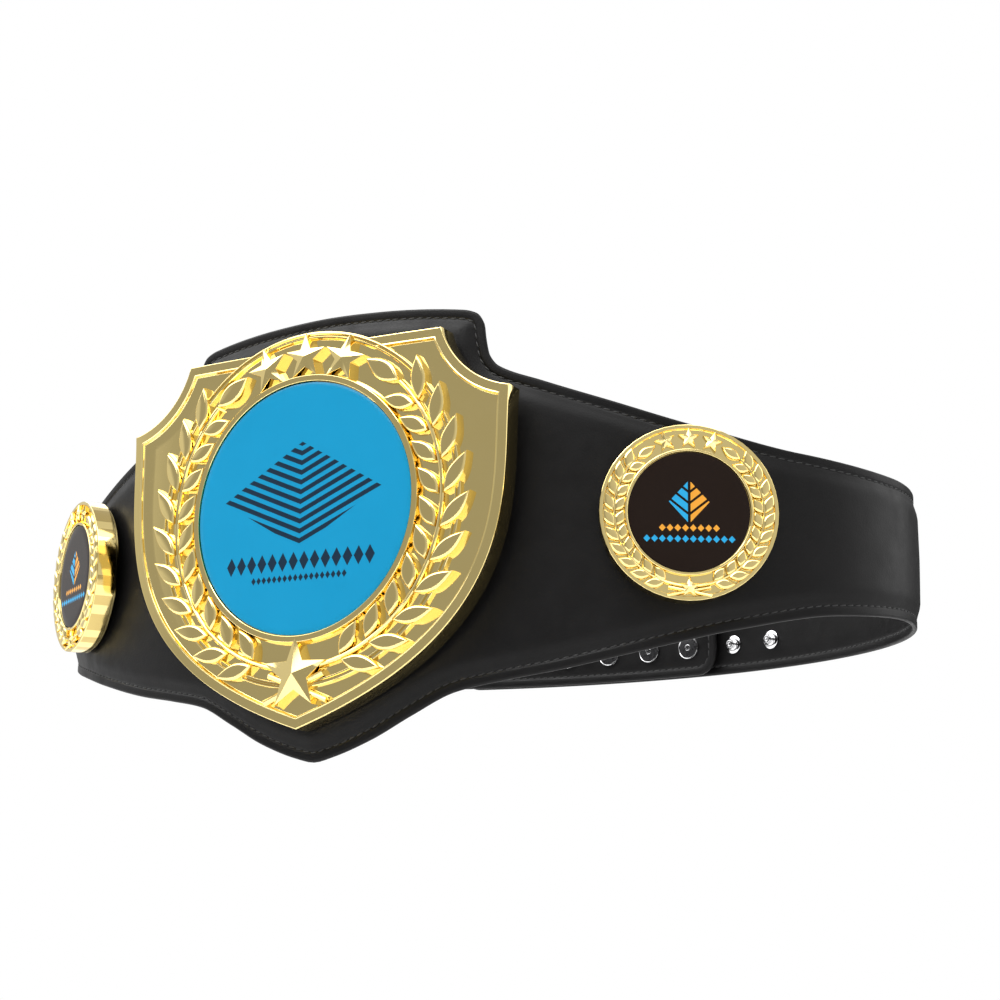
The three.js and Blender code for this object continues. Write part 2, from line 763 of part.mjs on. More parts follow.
function centrePlate() {
  const outline = shieldOutline();
  const field = -fieldDrop;
  const ringOuter = wreath.ringOuter * discRadius;
  const rises = {
    stem: stemRise, leaf: leafRise, starEdge: starEdgeRise, starPeak: starPeakRise, footPeak: footPeakRise,
  };
  const round = circle(ringOuter, ringSides);
  const seat = circle(discRadius, ringSides);
  const full = prism(outline, -plateDepth, 0).add(prism(round, -plateDepth, 0));
  const sunk = prism(insetOutline(outline, rimWidth), field, cutOver).add(prism(round, field, cutOver));
  const bodies = [
    full.subtract(sunk),
    prism(seat, field - sink, 0),
    ringBody(wreath.ringInner * discRadius, ringOuter, field - sink, ringRise, ringSides),
    ringBody(discRadius, discRadius + bezelWidth, field - sink, bezelRise, ringSides),
    ...wreathBodies(wreath, discRadius, field, rises, leaf, stemSteps),
  ];
  const pocket = prism(seat, discRise - discThickness - fitGap, footPeakRise + cutOver);
  let solid = bent(joined(bodies).subtract(pocket));
  screws.slice(0, 2).forEach(({ point, direction }) => {
    solid = solid.subtract(pinHole(screwRadius, -2 * fitGap - screwBite, 0, point, direction));
  });
  return geometryOf(solid);
}

function centreDisc() {
  const flat = prism(circle(discRadius - fitGap, ringSides), discRise - discThickness, discRise);
  return geometryOf(bent(flat));
}

function sidePlate() {
  const field = -sideFieldDrop;
  const rises = {
    stem: sideStemRise,
    leaf: sideLeafRise,
    starEdge: sideStarEdgeRise,
    starPeak: sideStarPeakRise,
    footPeak: sideStarPeakRise,
  };
  const bodies = [
    prism(circle(sideRadius, sideRingSides), -sideDepth, 0)
      .subtract(prism(circle(sideRadius - sideRimWidth, sideRingSides), field, cutOver)),
    ringBody(sideDiscRadius, sideDiscRadius + sideBezelWidth, field - sink, sideBezelRise, sideRingSides),
    ...wreathBodies(sideWreath, sideDiscRadius, field, rises, smallLeaf, sideStemSteps),
  ];
  const floor = sideDiscRise - sideDiscThickness - fitGap;
  const pocket = prism(circle(sideDiscRadius, sideRingSides), floor, sideStarPeakRise + cutOver);
  const screwEnd = screwBite + 2 * fitGap - sideSeatGap;
  const back = new THREE.Vector3(0, 0, -sideDepth);
  const socket = pinHole(screwRadius, -cutOver, screwEnd, back, new THREE.Vector3(0, 0, 1));
  return geometryOf(joined(bodies).subtract(pocket).subtract(socket));
}

function sideDisc() {
  const low = sideDiscRise - sideDiscThickness;
  return geometryOf(prism(circle(sideDiscRadius - fitGap, sideRingSides), low, sideDiscRise));
}

function named(name, geometry, material) {
  const mesh = new THREE.Mesh(geometry, material);
  mesh.name = name;
  return mesh;
}

const belt = new THREE.Group();
belt.add(named('belt_band', beltBand(), leather));
belt.add(named('center_plate', centrePlate(), gold));
belt.add(named('center_disc', centreDisc(), bluePrint));

const medallion = sidePlate();
const medallionDisc = sideDisc();
[['right', 1], ['left', -1]].forEach(([word, side]) => {
  const holder = new THREE.Group();
  const { point, turn } = sideFrame(side);
  holder.position.copy(point);
  holder.rotation.set(Math.PI / 2, 0, turn, 'ZYX');
  holder.add(named(`side_plate_${word}`, medallion, gold));
  holder.add(named(`side_disc_${word}`, medallionDisc, blackPrint));
  belt.add(holder);
});

screws.forEach((screw) => belt.add(named(screw.name, geometryOf(screwSolid(screw)), brightMetal)));

rowNames.forEach((word, row) => {
  for (let column = 0; column < snapPairs + freeStuds; column += 1) {
    const place = snapPlace(column, row);
    belt.add(named(`snap_stud_${word}_${column + 1}`, geometryOf(studSolid(place)), brightMetal));
    if (column < snapPairs) {
      belt.add(named(`snap_cap_${word}_${column + 1}`, geometryOf(capSolid(place)), darkMetal));
    }
  }
});

export default belt;
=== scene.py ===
"""A championship title belt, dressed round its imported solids.

The leather band, the shield plate, the two medallions and the snaps are each built by a class of
their own. Lengths are in millimetres until a mesh is written. The axes are the frame's: +X to the
right, -Y out of the front and +Z up.
"""

import logging
import math
from dataclasses import dataclass, field
from enum import Enum
from typing import Callable, Sequence

import bmesh
import bpy
import numpy as np
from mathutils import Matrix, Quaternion, Vector


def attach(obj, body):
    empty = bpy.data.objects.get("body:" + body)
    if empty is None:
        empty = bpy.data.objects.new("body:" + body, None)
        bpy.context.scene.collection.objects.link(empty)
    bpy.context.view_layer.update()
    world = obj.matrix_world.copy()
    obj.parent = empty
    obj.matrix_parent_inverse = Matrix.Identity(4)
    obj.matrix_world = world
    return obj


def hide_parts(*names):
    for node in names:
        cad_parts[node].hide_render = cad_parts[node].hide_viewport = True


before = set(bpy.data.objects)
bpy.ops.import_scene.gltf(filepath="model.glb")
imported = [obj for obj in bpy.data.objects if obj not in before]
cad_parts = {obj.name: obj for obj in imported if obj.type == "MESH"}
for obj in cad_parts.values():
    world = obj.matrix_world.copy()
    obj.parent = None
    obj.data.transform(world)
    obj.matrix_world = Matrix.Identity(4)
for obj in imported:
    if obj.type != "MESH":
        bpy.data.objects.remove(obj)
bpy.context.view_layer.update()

MM = 0.001
# Points of a mesh that are closer than this become one.
MERGE_DISTANCE = 0.002 * MM
# How far raised work reaches into what it stands on, in millimetres.
SINK = 0.3
# Where nearly all values of a noise lie.
NOISE_SPAN = (0.3, 0.7)
UP = np.array([0.0, 0.0, 1.0])
ROOT = "root"
log = logging.getLogger("title_belt")

Place = Callable[[np.ndarray], np.ndarray]
Profile = Sequence[tuple[float, float]]
Colour = tuple[float, float, float]
Socket = bpy.types.NodeSocket


class Slot(Enum):
    """The record's material slots."""

    LEATHER = "leather"
    THREAD = "thread"
    GOLD = "gold_plate"
    BLUE = "blue_print"
    BLACK = "black_print"
    DARK_METAL = "dark_metal"
    BRIGHT_METAL = "bright_metal"


class Side(Enum):
    """The two sides of the belt, as the sign of their X."""

    RIGHT = 1
    LEFT = -1


class Face(Enum):
    """The two faces of the leather."""

    OUTER = "outer"
    INNER = "inner"


# Shared shapes


class SmoothRow:
    """A smooth curve through a table's rows that never overshoots them."""

    def __init__(self, rows: Profile) -> None:
        """Works out the slope at each row.

        Args:
            rows: (along, share) pairs, in rising order of along.
        """
        self.along = np.array([row[0] for row in rows])
        self.share = np.array([row[1] for row in rows])
        slopes = np.diff(self.share) / np.diff(self.along)
        product = slopes[:-1] * slopes[1:]
        total = np.where(product > 0, slopes[:-1] + slopes[1:], 1.0)
        inner = np.where(product > 0, 2 * product / total, 0.0)
        self.slopes = np.concatenate([[0.0], inner, [0.0]])

    def at(self, along: np.ndarray) -> np.ndarray:
        """The curve's value.

        Args:
            along: places along the curve, held within its ends.

        Returns:
            The share at each place.
        """
        held = np.clip(along, self.along[0], self.along[-1])
        i = np.clip(np.searchsorted(self.along, held, side="right") - 1, 0, len(self.along) - 2)
        span = self.along[i + 1] - self.along[i]
        t = (held - self.along[i]) / span
        early = self.share[i] * (1 + 2 * t) * (1 - t) ** 2
        rise = early + self.share[i + 1] * t * t * (3 - 2 * t)
        return rise + span * (self.slopes[i] * t * (1 - t) ** 2 - self.slopes[i + 1] * t * t * (1 - t))


def ease(value: np.ndarray | float) -> np.ndarray | float:
    """A smooth step from 0 to 1 as value goes from 0 to 1."""
    t = np.clip(value, 0.0, 1.0)
    return t * t * (3 - 2 * t)


@dataclass
class Shell:
    """Points and faces of one mesh, in millimetres, with a material index for each face."""

    points: list[np.ndarray] = field(default_factory=list)
    faces: list[tuple[int, ...]] = field(default_factory=list)
    indices: list[int] = field(default_factory=list)
    smooth: list[bool] = field(default_factory=list)
    count: int = 0

    def _face(self, corners: Sequence[int], index: int = 0, smooth: bool = True) -> None:
        """Adds one face.

        Args:
            corners: its points' places in the mesh.
            index: its material index.
            smooth: whether it is shaded smooth.
        """
        self.faces.append(tuple(corners))
        self.indices.append(index)
        self.smooth.append(smooth)

    def loft(
        self,
        rings: np.ndarray,
        start: bool = True,
        end: bool = True,
        wrap: bool = False,
        bright: frozenset[int] = frozenset(),
        flat: frozenset[int] = frozenset(),
    ) -> None:
        """Joins closed rings of points with quads.

        Args:
            rings: an array of rings, points and coordinates.
            start: closes the first ring with one face.
            end: closes the last ring with one face.
            wrap: joins the last ring to the first.
            bright: the rings whose quads take the second material.
            flat: the rings whose quads are shaded flat.
        """
        rings = np.asarray(rings, dtype=float)
        number, around = rings.shape[0], rings.shape[1]
        base = self.count
        self.points.append(rings.reshape(-1, 3))
        self.count += number * around
        for ring in range(number if wrap else number - 1):
            low = base + ring * around
            high = base + ((ring + 1) % number) * around
            for k in range(around):
                after = (k + 1) % around
                quad = (low + k, low + after, high + after, high + k)
                self._face(quad, int(ring in bright), ring not in flat)
        if start and not wrap:
            self._face([base + k for k in reversed(range(around))])
        if end and not wrap:
            self._face([base + (number - 1) * around + k for k in range(around)])

    def peak(self, ring: np.ndarray, top: Sequence[float]) -> None:
        """Closes a ring of points with flat facets that meet at one point.

        Args:
            ring: the ring's points.
            top: the point where the facets meet.
        """
        base = self.count
        around = len(ring)
        self.points.append(np.vstack([ring, np.array(top)[None, :]]))
        self.count += around + 1
        for k in range(around):
            self._face((base + k, base + (k + 1) % around, base + around))

    def write(
        self,
        name: str,
        finishes: Sequence[bpy.types.Material],
        place: Place | None = None,
        crease: float = 28.0,
    ) -> bpy.types.Object:
        """Makes the object.

        Args:
            name: the object's name.
            finishes: its materials, in the order of the material indices.
            place: moves the points from where they were modelled to the frame, in millimetres.
            crease: edges that turn by more degrees than this stay sharp.

        Returns:
            The new object, in metres, linked to the scene.
        """
        points = np.vstack(self.points)
        if place is not None:
            points = place(points)
        mesh = bpy.data.meshes.new(name)
        mesh.from_pydata((points * MM).tolist(), [], self.faces)
        for finish in finishes:
            mesh.materials.append(finish)
        mesh.polygons.foreach_set("material_index", self.indices)
        mesh.polygons.foreach_set("use_smooth", self.smooth)
        shape = bmesh.new()
        shape.from_mesh(mesh)
        bmesh.ops.remove_doubles(shape, verts=shape.verts, dist=MERGE_DISTANCE)
        bmesh.ops.recalc_face_normals(shape, faces=shape.faces)
        shape.to_mesh(mesh)
        shape.free()
        mesh.set_sharp_from_angle(angle=math.radians(crease))
        thing = bpy.data.objects.new(name, mesh)
        bpy.context.scene.collection.objects.link(thing)
        return thing


def at_level(flat: np.ndarray, level: float) -> np.ndarray:
    """Flat points at one height."""
    return np.column_stack([flat, np.full(len(flat), level)])


def run_lengths(line: np.ndarray) -> np.ndarray:
    """The distance of each point of a line from its start, along the line."""
    return np.concatenate([[0.0], np.cumsum(np.linalg.norm(np.diff(line, axis=0), axis=1))])


def sample(line: np.ndarray, lengths: np.ndarray, marks: np.ndarray) -> np.ndarray:
    """Values between the rows of a line.

    Args:
        line: the rows.
        lengths: each row's distance from the start.
        marks: the distances that are wanted.

    Returns:
        One row for each mark.
    """
    return np.column_stack([np.interp(marks, lengths, column) for column in line.T])


def placing(origin: np.ndarray, across: np.ndarray, out: np.ndarray) -> Place:
    """Makes the move of a piece from its own axes to the frame.

    Args:
        origin: where the piece's own origin goes.
        across: where its X points.
        out: where its Z points. Its Y points up.

    Returns:
        The move.
    """

    def place(points: np.ndarray) -> np.ndarray:
        """Moves points to the frame."""
        flat = origin + np.outer(points[:, 0], across) + np.outer(points[:, 1], UP)
        return flat + np.outer(points[:, 2], out)

    return place


def fit_piece(piece: bpy.types.Object, slot: Slot, node: str | None = None) -> bpy.types.Object:
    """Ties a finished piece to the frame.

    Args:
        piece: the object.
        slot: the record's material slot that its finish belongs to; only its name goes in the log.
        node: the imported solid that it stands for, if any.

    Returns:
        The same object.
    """
    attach(piece, ROOT)
    if node is not None:
        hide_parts(node)
    log.info("%s: %d faces, finish %s", piece.name, len(piece.data.polygons), slot.value)
    return piece


def turned_rings(profile: Profile, sides: int) -> np.ndarray:
    """Rings of a turned body on the Z axis.

    Args:
        profile: (radius, height) pairs from one end of the axis to the other.
        sides: points in each ring.

    Returns:
        The rings, as an array of rings, points and coordinates.
    """
    angles = np.arange(sides) / sides * 2 * math.pi
    rows = [
        np.column_stack([r * np.cos(angles), r * np.sin(angles), np.full(sides, z)])
        for r, z in profile
    ]
    return np.array(rows)


def hoop_rings(profile: Profile, sides: int) -> np.ndarray:
    """Sections of a closed hoop round the Z axis.

    Args:
        profile: the section's (radius, height) pairs, in order round it.
        sides: sections round the hoop.

    Returns:
        The sections, as an array of sections, points and coordinates.
    """
    return np.swapaxes(turned_rings(profile, sides), 0, 1)


def turned_piece(
    name: str,
    profile: Profile,
    sides: int,
    finishes: Sequence[bpy.types.Material],
    place: Place | None = None,
    crease: float = 28.0,
    start: bool = True,
    bright: frozenset[int] = frozenset(),
) -> bpy.types.Object:
    """Makes a turned piece.

    Args:
        name: the object's name.
        profile: (radius, height) pairs from one end of its axis to the other.
        sides: points in each ring.
        finishes: its materials.
        place: moves its points to the frame.
        crease: edges that turn by more degrees than this stay sharp.
        start: closes the first ring with one face.
        bright: the rings whose quads take the second material.

    Returns:
        The object.
    """
    shell = Shell()
    shell.loft(turned_rings(profile, sides), start=start, bright=bright)
    return shell.write(name, finishes, place, crease)


# Finishes


class NodeSheet:
    """Lays out the nodes of one tree."""

    def __init__(self, tree: bpy.types.NodeTree) -> None:
        """Keeps the tree."""
        self.tree = tree

    def give(self, socket: Socket, value: Socket | float | Sequence[float]) -> None:
        """Links a socket to a source, or sets it to a constant."""
        if isinstance(value, bpy.types.NodeSocket):
            self.tree.links.new(value, socket)
        else:
            socket.default_value = value

    def math(self, operation: str, first: Socket | float, second: Socket | float = 0.0) -> Socket:
        """One step of arithmetic.

        Args:
            operation: the Math node's operation.
            first: its first value.
            second: its second value.

        Returns:
            The result's socket.
        """
        node = self.tree.nodes.new("ShaderNodeMath")
        node.operation = operation
        for socket, value in zip(node.inputs, (first, second)):
            self.give(socket, value)
        return node.outputs[0]

    def remap(self, value: Socket, ends: Sequence[float], kind: str = "LINEAR") -> Socket:
        """Maps a value from one range to another.

        Args:
            value: the value's socket.
            ends: the low and high ends of the first range, then those of the second.
            kind: how the result runs from end to end.

        Returns:
            The result's socket.
        """
        node = self.tree.nodes.new("ShaderNodeMapRange")
        node.interpolation_type = kind
        self.tree.links.new(value, node.inputs["Value"])
        for name, number in zip(("From Min", "From Max", "To Min", "To Max"), ends):
            node.inputs[name].default_value = number
        return node.outputs[0]

    def ramp(self, value: Socket, low: float, high: float) -> Socket:
        """A smooth step of a value, from 0 at low to 1 at high."""
        return self.remap(value, (low, high, 0.0, 1.0), "SMOOTHSTEP")


class NodePad(NodeSheet):
    """Lays out the nodes of one material round a Principled shader."""

    def __init__(self, name: str) -> None:
        """Starts a material.

        Args:
            name: the material's name.
        """
        self.material = bpy.data.materials.new(name)
        self.material.use_nodes = True
        super().__init__(self.material.node_tree)
        self.tree.nodes.clear()
        self.shader = self.tree.nodes.new("ShaderNodeBsdfPrincipled")
        output = self.tree.nodes.new("ShaderNodeOutputMaterial")
        self.tree.links.new(self.shader.outputs["BSDF"], output.inputs["Surface"])
        self.place = self.tree.nodes.new("ShaderNodeTexCoord").outputs["Object"]

    def set(self, **values: float | tuple[float, ...]) -> None:
        """Sets constants on the shader's own sockets, with _ for each space in a name."""
        for name, value in values.items():
            self.shader.inputs[name.replace("_", " ")].default_value = value

    def feed(self, name: str, source: Socket) -> None:
        """Links a source to a socket of the shader."""
        self.tree.links.new(source, self.shader.inputs[name])

    def vector(self, operation: str, first: Socket, second: Sequence[float]) -> bpy.types.Node:
        """One step of vector arithmetic with a constant.

        Args:
            operation: the Vector Math node's operation.
            first: its first vector.
            second: its second vector.

        Returns:
            The node, whose outputs are Vector and Value.
        """
        node = self.tree.nodes.new("ShaderNodeVectorMath")
        node.operation = operation
        self.tree.links.new(first, node.inputs[0])
        node.inputs[1].default_value = second
        return node

    def noise(
        self,
        size: float,
        detail: float = 3.0,
        stretch: Sequence[float] = (1, 1, 1),
    ) -> Socket:
        """Cloudy noise.

        Args:
            size: the size of its clouds, in millimetres.
            detail: how many finer levels it has.
            stretch: scales of the three axes.

        Returns:
            The value's socket.
        """
        node = self.tree.nodes.new("ShaderNodeTexNoise")
        node.inputs["Scale"].default_value = 1 / (size * MM)
        node.inputs["Detail"].default_value = detail
        stretched = self.vector("MULTIPLY", self.place, stretch)
        self.tree.links.new(stretched.outputs[0], node.inputs["Vector"])
        return node.outputs["Fac"]

    def cells(self, size: float, smoothness: float = 0.6) -> Socket:
        """Rounded cells, as in grain or hammering.

        Args:
            size: the size of a cell, in millimetres.
            smoothness: how softly the cells meet.

        Returns:
            The distance's socket.
        """
        node = self.tree.nodes.new("ShaderNodeTexVoronoi")
        node.feature = "SMOOTH_F1"
        node.inputs["Scale"].default_value = 1 / (size * MM)
        node.inputs["Smoothness"].default_value = smoothness
        self.tree.links.new(self.place, node.inputs["Vector"])
        return node.outputs["Distance"]

    def span(self, value: Socket, low: float, high: float) -> Socket:
        """Spreads the usual span of noise over low to high."""
        return self.remap(value, (*NOISE_SPAN, low, high))

    def mix(
        self,
        share: Socket,
        first: Socket | Sequence[float],
        second: Socket | Sequence[float],
    ) -> Socket:
        """Mixes two colours.

        Args:
            share: the second colour's share.
            first: the first colour.
            second: the second colour.

        Returns:
            The colour's socket.
        """
        node = self.tree.nodes.new("ShaderNodeMix")
        node.data_type = "RGBA"
        self.tree.links.new(share, node.inputs[0])
        for socket, value in ((node.inputs[6], first), (node.inputs[7], second)):
            self.give(socket, value if isinstance(value, bpy.types.NodeSocket) else (*value, 1.0))
        return node.outputs[2]

    def bump(
        self,
        height: Socket,
        depth: float,
        strength: float = 1.0,
        under: Socket | None = None,
    ) -> Socket:
        """Turns a height into a normal.

        Args:
            height: the height's socket, from 0 to 1.
            depth: the height of 1, in millimetres.
            strength: the share of the effect that shows.
            under: a normal that this one adds to.

        Returns:
            The normal's socket.
        """
        node = self.tree.nodes.new("ShaderNodeBump")
        node.inputs["Strength"].default_value = strength
        node.inputs["Distance"].default_value = depth * MM
        self.tree.links.new(height, node.inputs["Height"])
        if under is not None:
            self.tree.links.new(under, node.inputs["Normal"])
        return node.outputs["Normal"]


@dataclass(frozen=True)
class BlackLeather:
    """Smooth black leather with a fine grain and a satin sheen."""

    name: str = "black_leather"
    light: Colour = (0.0062, 0.0060, 0.0061)
    dark: Colour = (0.0040, 0.0038, 0.0040)
    grain: float = 0.75
    grain_depth: float = 0.035
    crease: float = 6.0
    crease_depth: float = 0.07
    roughness: tuple[float, float] = (0.36, 0.48)
    specular: float = 0.17

    def material(self) -> bpy.types.Material:
        """Lays out the finish.

        Returns:
            The material.
        """
        pad = NodePad(self.name)
        pad.set(Specular_IOR_Level=self.specular)
        pad.feed("Base Color", pad.mix(pad.noise(35), self.dark, self.light))
        pad.feed("Roughness", pad.span(pad.noise(9), *self.roughness))
        creased = pad.bump(pad.noise(self.crease, 5), self.crease_depth)
        pad.feed("Normal", pad.bump(pad.cells(self.grain), self.grain_depth, 0.8, creased))
        return pad.material


@dataclass(frozen=True)
class TwistedThread:
    """Black waxed thread with a fine twist."""

    name: str = "twisted_thread"
    light: Colour = (0.02, 0.02, 0.02)
    dark: Colour = (0.006, 0.006, 0.006)
    twist: float = 0.35
    twist_depth: float = 0.08

    def material(self) -> bpy.types.Material:
        """Lays out the finish.

        Returns:
            The material.
        """
        pad = NodePad(self.name)
        pad.set(Roughness=0.55)
        strands = pad.noise(self.twist, 2, (1, 1, 2.5))
        pad.feed("Base Color", pad.mix(strands, self.dark, self.light))
        pad.feed("Normal", pad.bump(strands, self.twist_depth))
        return pad.material


@dataclass(frozen=True)
class Plating:
    """Polished plating over a cast body, with faint clouds and polishing marks."""

    name: str
    light: Colour
    dark: Colour
    roughness: tuple[float, float]
    mark_depth: float = 0.002

    def material(self) -> bpy.types.Material:
        """Lays out the finish.

        Returns:
            The material.
        """
        pad = NodePad(self.name)
        pad.set(Metallic=1.0)
        pad.feed("Base Color", pad.mix(pad.noise(14), self.dark, self.light))
        pad.feed("Roughness", pad.span(pad.noise(4), *self.roughness))
        pad.feed("Normal", pad.bump(pad.noise(0.9, 2, (1, 1, 0.35)), self.mark_depth))
        return pad.material


@dataclass(frozen=True)
class Enamel:
    """Dark enamel on metal."""

    name: str = "dark_enamel"
    light: Colour = (0.02, 0.02, 0.021)
    dark: Colour = (0.01, 0.01, 0.011)
    roughness: tuple[float, float] = (0.22, 0.34)

    def material(self) -> bpy.types.Material:
        """Lays out the finish.

        Returns:
            The material.
        """
        pad = NodePad(self.name)
        pad.feed("Base Color", pad.mix(pad.noise(3), self.dark, self.light))
        pad.feed("Roughness", pad.span(pad.noise(2), *self.roughness))
        pad.feed("Normal", pad.bump(pad.noise(0.5), 0.01))
        return pad.material


@dataclass(frozen=True)
class PrintedDisc:
    """A glossy printed disc: a ground colour with a crest of chevrons over rows of lozenges.

    The places and sizes of the motifs are shares of the disc's radius. Each of the rows is its
    height, half length, pitch, half height of a lozenge and the place of its ink.
    """

    name: str
    radius: float
    centre: tuple[float, float, float]
    right: tuple[float, float, float]
    ground: Colour
    inks: tuple[Colour, Colour]
    crest_up: float
    crest_wide: float
    crest_tall: float
    chevrons: float
    chevron_slope: float
    chevron_share: float
    split: float
    rows: tuple[tuple[float, float, float, float, int], ...]
    roughness: tuple[float, float]
    specular: float
    lozenge_share: float = 0.44

    def _lozenge(
        self,
        pad: NodePad,
        across: Socket,
        up: Socket,
        wide: float,
        tall: float,
    ) -> Socket:
        """A mask of one lozenge.

        Args:
            pad: where its nodes go.
            across: the place to the right of its centre.
            up: the place above its centre.
            wide: its half width.
            tall: its half height.

        Returns:
            The mask's socket, 1 inside and 0 outside.
        """
        flat = pad.math("DIVIDE", pad.math("ABSOLUTE", across), wide)
        steep = pad.math("DIVIDE", pad.math("ABSOLUTE", up), tall)
        return pad.math("LESS_THAN", pad.math("ADD", flat, steep), 1.0)

    def _crest(self, pad: NodePad, across: Socket, up: Socket) -> Socket:
        """A mask of the crest's chevrons.

        Args:
            pad: where its nodes go.
            across: the place to the right of the disc's centre.
            up: the place above it.

        Returns:
            The mask's socket, 1 on a chevron and 0 between them.
        """
        raised = pad.math("SUBTRACT", up, self.crest_up)
        whole = self._lozenge(pad, across, raised, self.crest_wide, self.crest_tall)
        slant = pad.math("MULTIPLY", pad.math("ABSOLUTE", across), self.chevron_slope)
        phase = pad.math("MULTIPLY", pad.math("SUBTRACT", raised, slant), self.chevrons)
        stripe = pad.math("LESS_THAN", pad.math("FRACT", phase), self.chevron_share)
        apart = pad.math("GREATER_THAN", pad.math("ABSOLUTE", across), self.split)
        return pad.math("MULTIPLY", pad.math("MULTIPLY", whole, stripe), apart)

    def _row(self, pad: NodePad, across: Socket, up: Socket, row: Sequence[float]) -> Socket:
        """A mask of one row of lozenges.

        Args:
            pad: where its nodes go.
            across: the place to the right of the disc's centre.
            up: the place above it.
            row: the row's height, half length, pitch and half height of a lozenge.

        Returns:
            The mask's socket, 1 on a lozenge and 0 between them.
        """
        level, reach, pitch, tall = row
        cell = pad.math("SUBTRACT", pad.math("FRACT", pad.math("DIVIDE", across, pitch)), 0.5)
        raised = pad.math("SUBTRACT", up, level)
        lozenge = self._lozenge(pad, cell, raised, self.lozenge_share, tall)
        within = pad.math("LESS_THAN", pad.math("ABSOLUTE", across), reach)
        return pad.math("MULTIPLY", lozenge, within)

    def material(self) -> bpy.types.Material:
        """Lays out the finish.

        Returns:
            The material.
        """
        pad = NodePad(self.name)
        pad.set(Specular_IOR_Level=self.specular)
        offset = pad.vector("SUBTRACT", pad.place, [c * MM for c in self.centre]).outputs[0]
        unit = 1 / (self.radius * MM)
        across = pad.vector("DOT_PRODUCT", offset, [c * unit for c in self.right]).outputs["Value"]
        up = pad.vector("DOT_PRODUCT", offset, (0, 0, unit)).outputs["Value"]
        first = pad.math("LESS_THAN", across, 0.0)
        crest = self._crest(pad, across, up)
        ink = pad.mix(first, self.inks[1], self.inks[0])
        cloud = pad.noise(25, 2)
        pale = tuple(min(1.0, c * 1.06 + 0.002) for c in self.ground)
        colour = pad.mix(crest, pad.mix(cloud, self.ground, pale), ink)
        for *row, ink_place in self.rows:
            colour = pad.mix(self._row(pad, across, up, row), colour, self.inks[ink_place])
        pad.feed("Base Color", colour)
        pad.feed("Roughness", pad.span(pad.noise(6), *self.roughness))
        pad.feed("Normal", pad.bump(pad.noise(1.5, 2), 0.003))
        return pad.material


@dataclass(frozen=True)
class Finishes:
    """The materials that more than one piece shares."""

    leather: bpy.types.Material
    thread: bpy.types.Material
    gold: bpy.types.Material
    # A darker copy of the gold that paints shade on alternate facets of the medallions' walls.
    shaded_gold: bpy.types.Material
    nickel: bpy.types.Material
    enamel: bpy.types.Material

    @classmethod
    def make(cls) -> "Finishes":
        """Builds every shared material once.

        Returns:
            The materials.
        """
        gold = Plating("polished_gold", (0.95, 0.76, 0.33), (0.93, 0.74, 0.30), (0.05, 0.10))
        # A darker copy of the polished gold: painted shade, standing in for the stripes of reflection on the
        # medallions' facets.
        shaded_gold = Plating("gold_painted_shade", (0.62, 0.47, 0.18), (0.58, 0.44, 0.16), (0.08, 0.12))
        nickel = Plating("polished_nickel", (0.83, 0.83, 0.84), (0.74, 0.74, 0.75), (0.08, 0.16))
        kinds = (BlackLeather(), TwistedThread(), gold, shaded_gold, nickel, Enamel())
        return cls(*(kind.material() for kind in kinds))


# Leather band


@dataclass
class WaistLoop:
    """The plan of the padded face: half an ellipse in front and a deeper half behind."""

    half_width: float = 227.0
    front_depth: float = 129.5
    back_depth: float = 140.0
    steps: int = 2880

    def __post_init__(self) -> None:
        """Measures the loop from the front centre to the back centre."""
        middles = (np.arange(self.steps) + 0.5) / self.steps * math.pi
        depth = np.where(middles < math.pi / 2, self.front_depth, self.back_depth)
        speed = np.hypot(self.half_width * np.cos(middles), depth * np.sin(middles))
        self.lengths = np.concatenate([[0.0], np.cumsum(speed * math.pi / self.steps)])
        self.angles = np.linspace(0.0, math.pi, self.steps + 1)
        self.half = float(self.lengths[-1])

    def at(self, distance: np.ndarray) -> tuple[np.ndarray, np.ndarray]:
        """Points of the padded face.

        Args:
            distance: distances along the leather from the front centre, positive to the right.

        Returns:
            The points' X and Y, and the outward directions there.
        """
        distance = np.atleast_1d(distance)
        away = np.abs(distance)
        angle = np.interp(np.minimum(away, 2 * self.half - away), self.lengths, self.angles)
        angle = np.where(away > self.half, 2 * math.pi - angle, angle) * np.sign(distance)
        depth = np.where(np.cos(angle) > 0, self.front_depth, self.back_depth)
        points = np.column_stack([self.half_width * np.sin(angle), -depth * np.cos(angle)])
        out = points / np.column_stack([np.full_like(depth, self.half_width**2), depth**2])
        return points, out / np.linalg.norm(out, axis=1, keepdims=True)


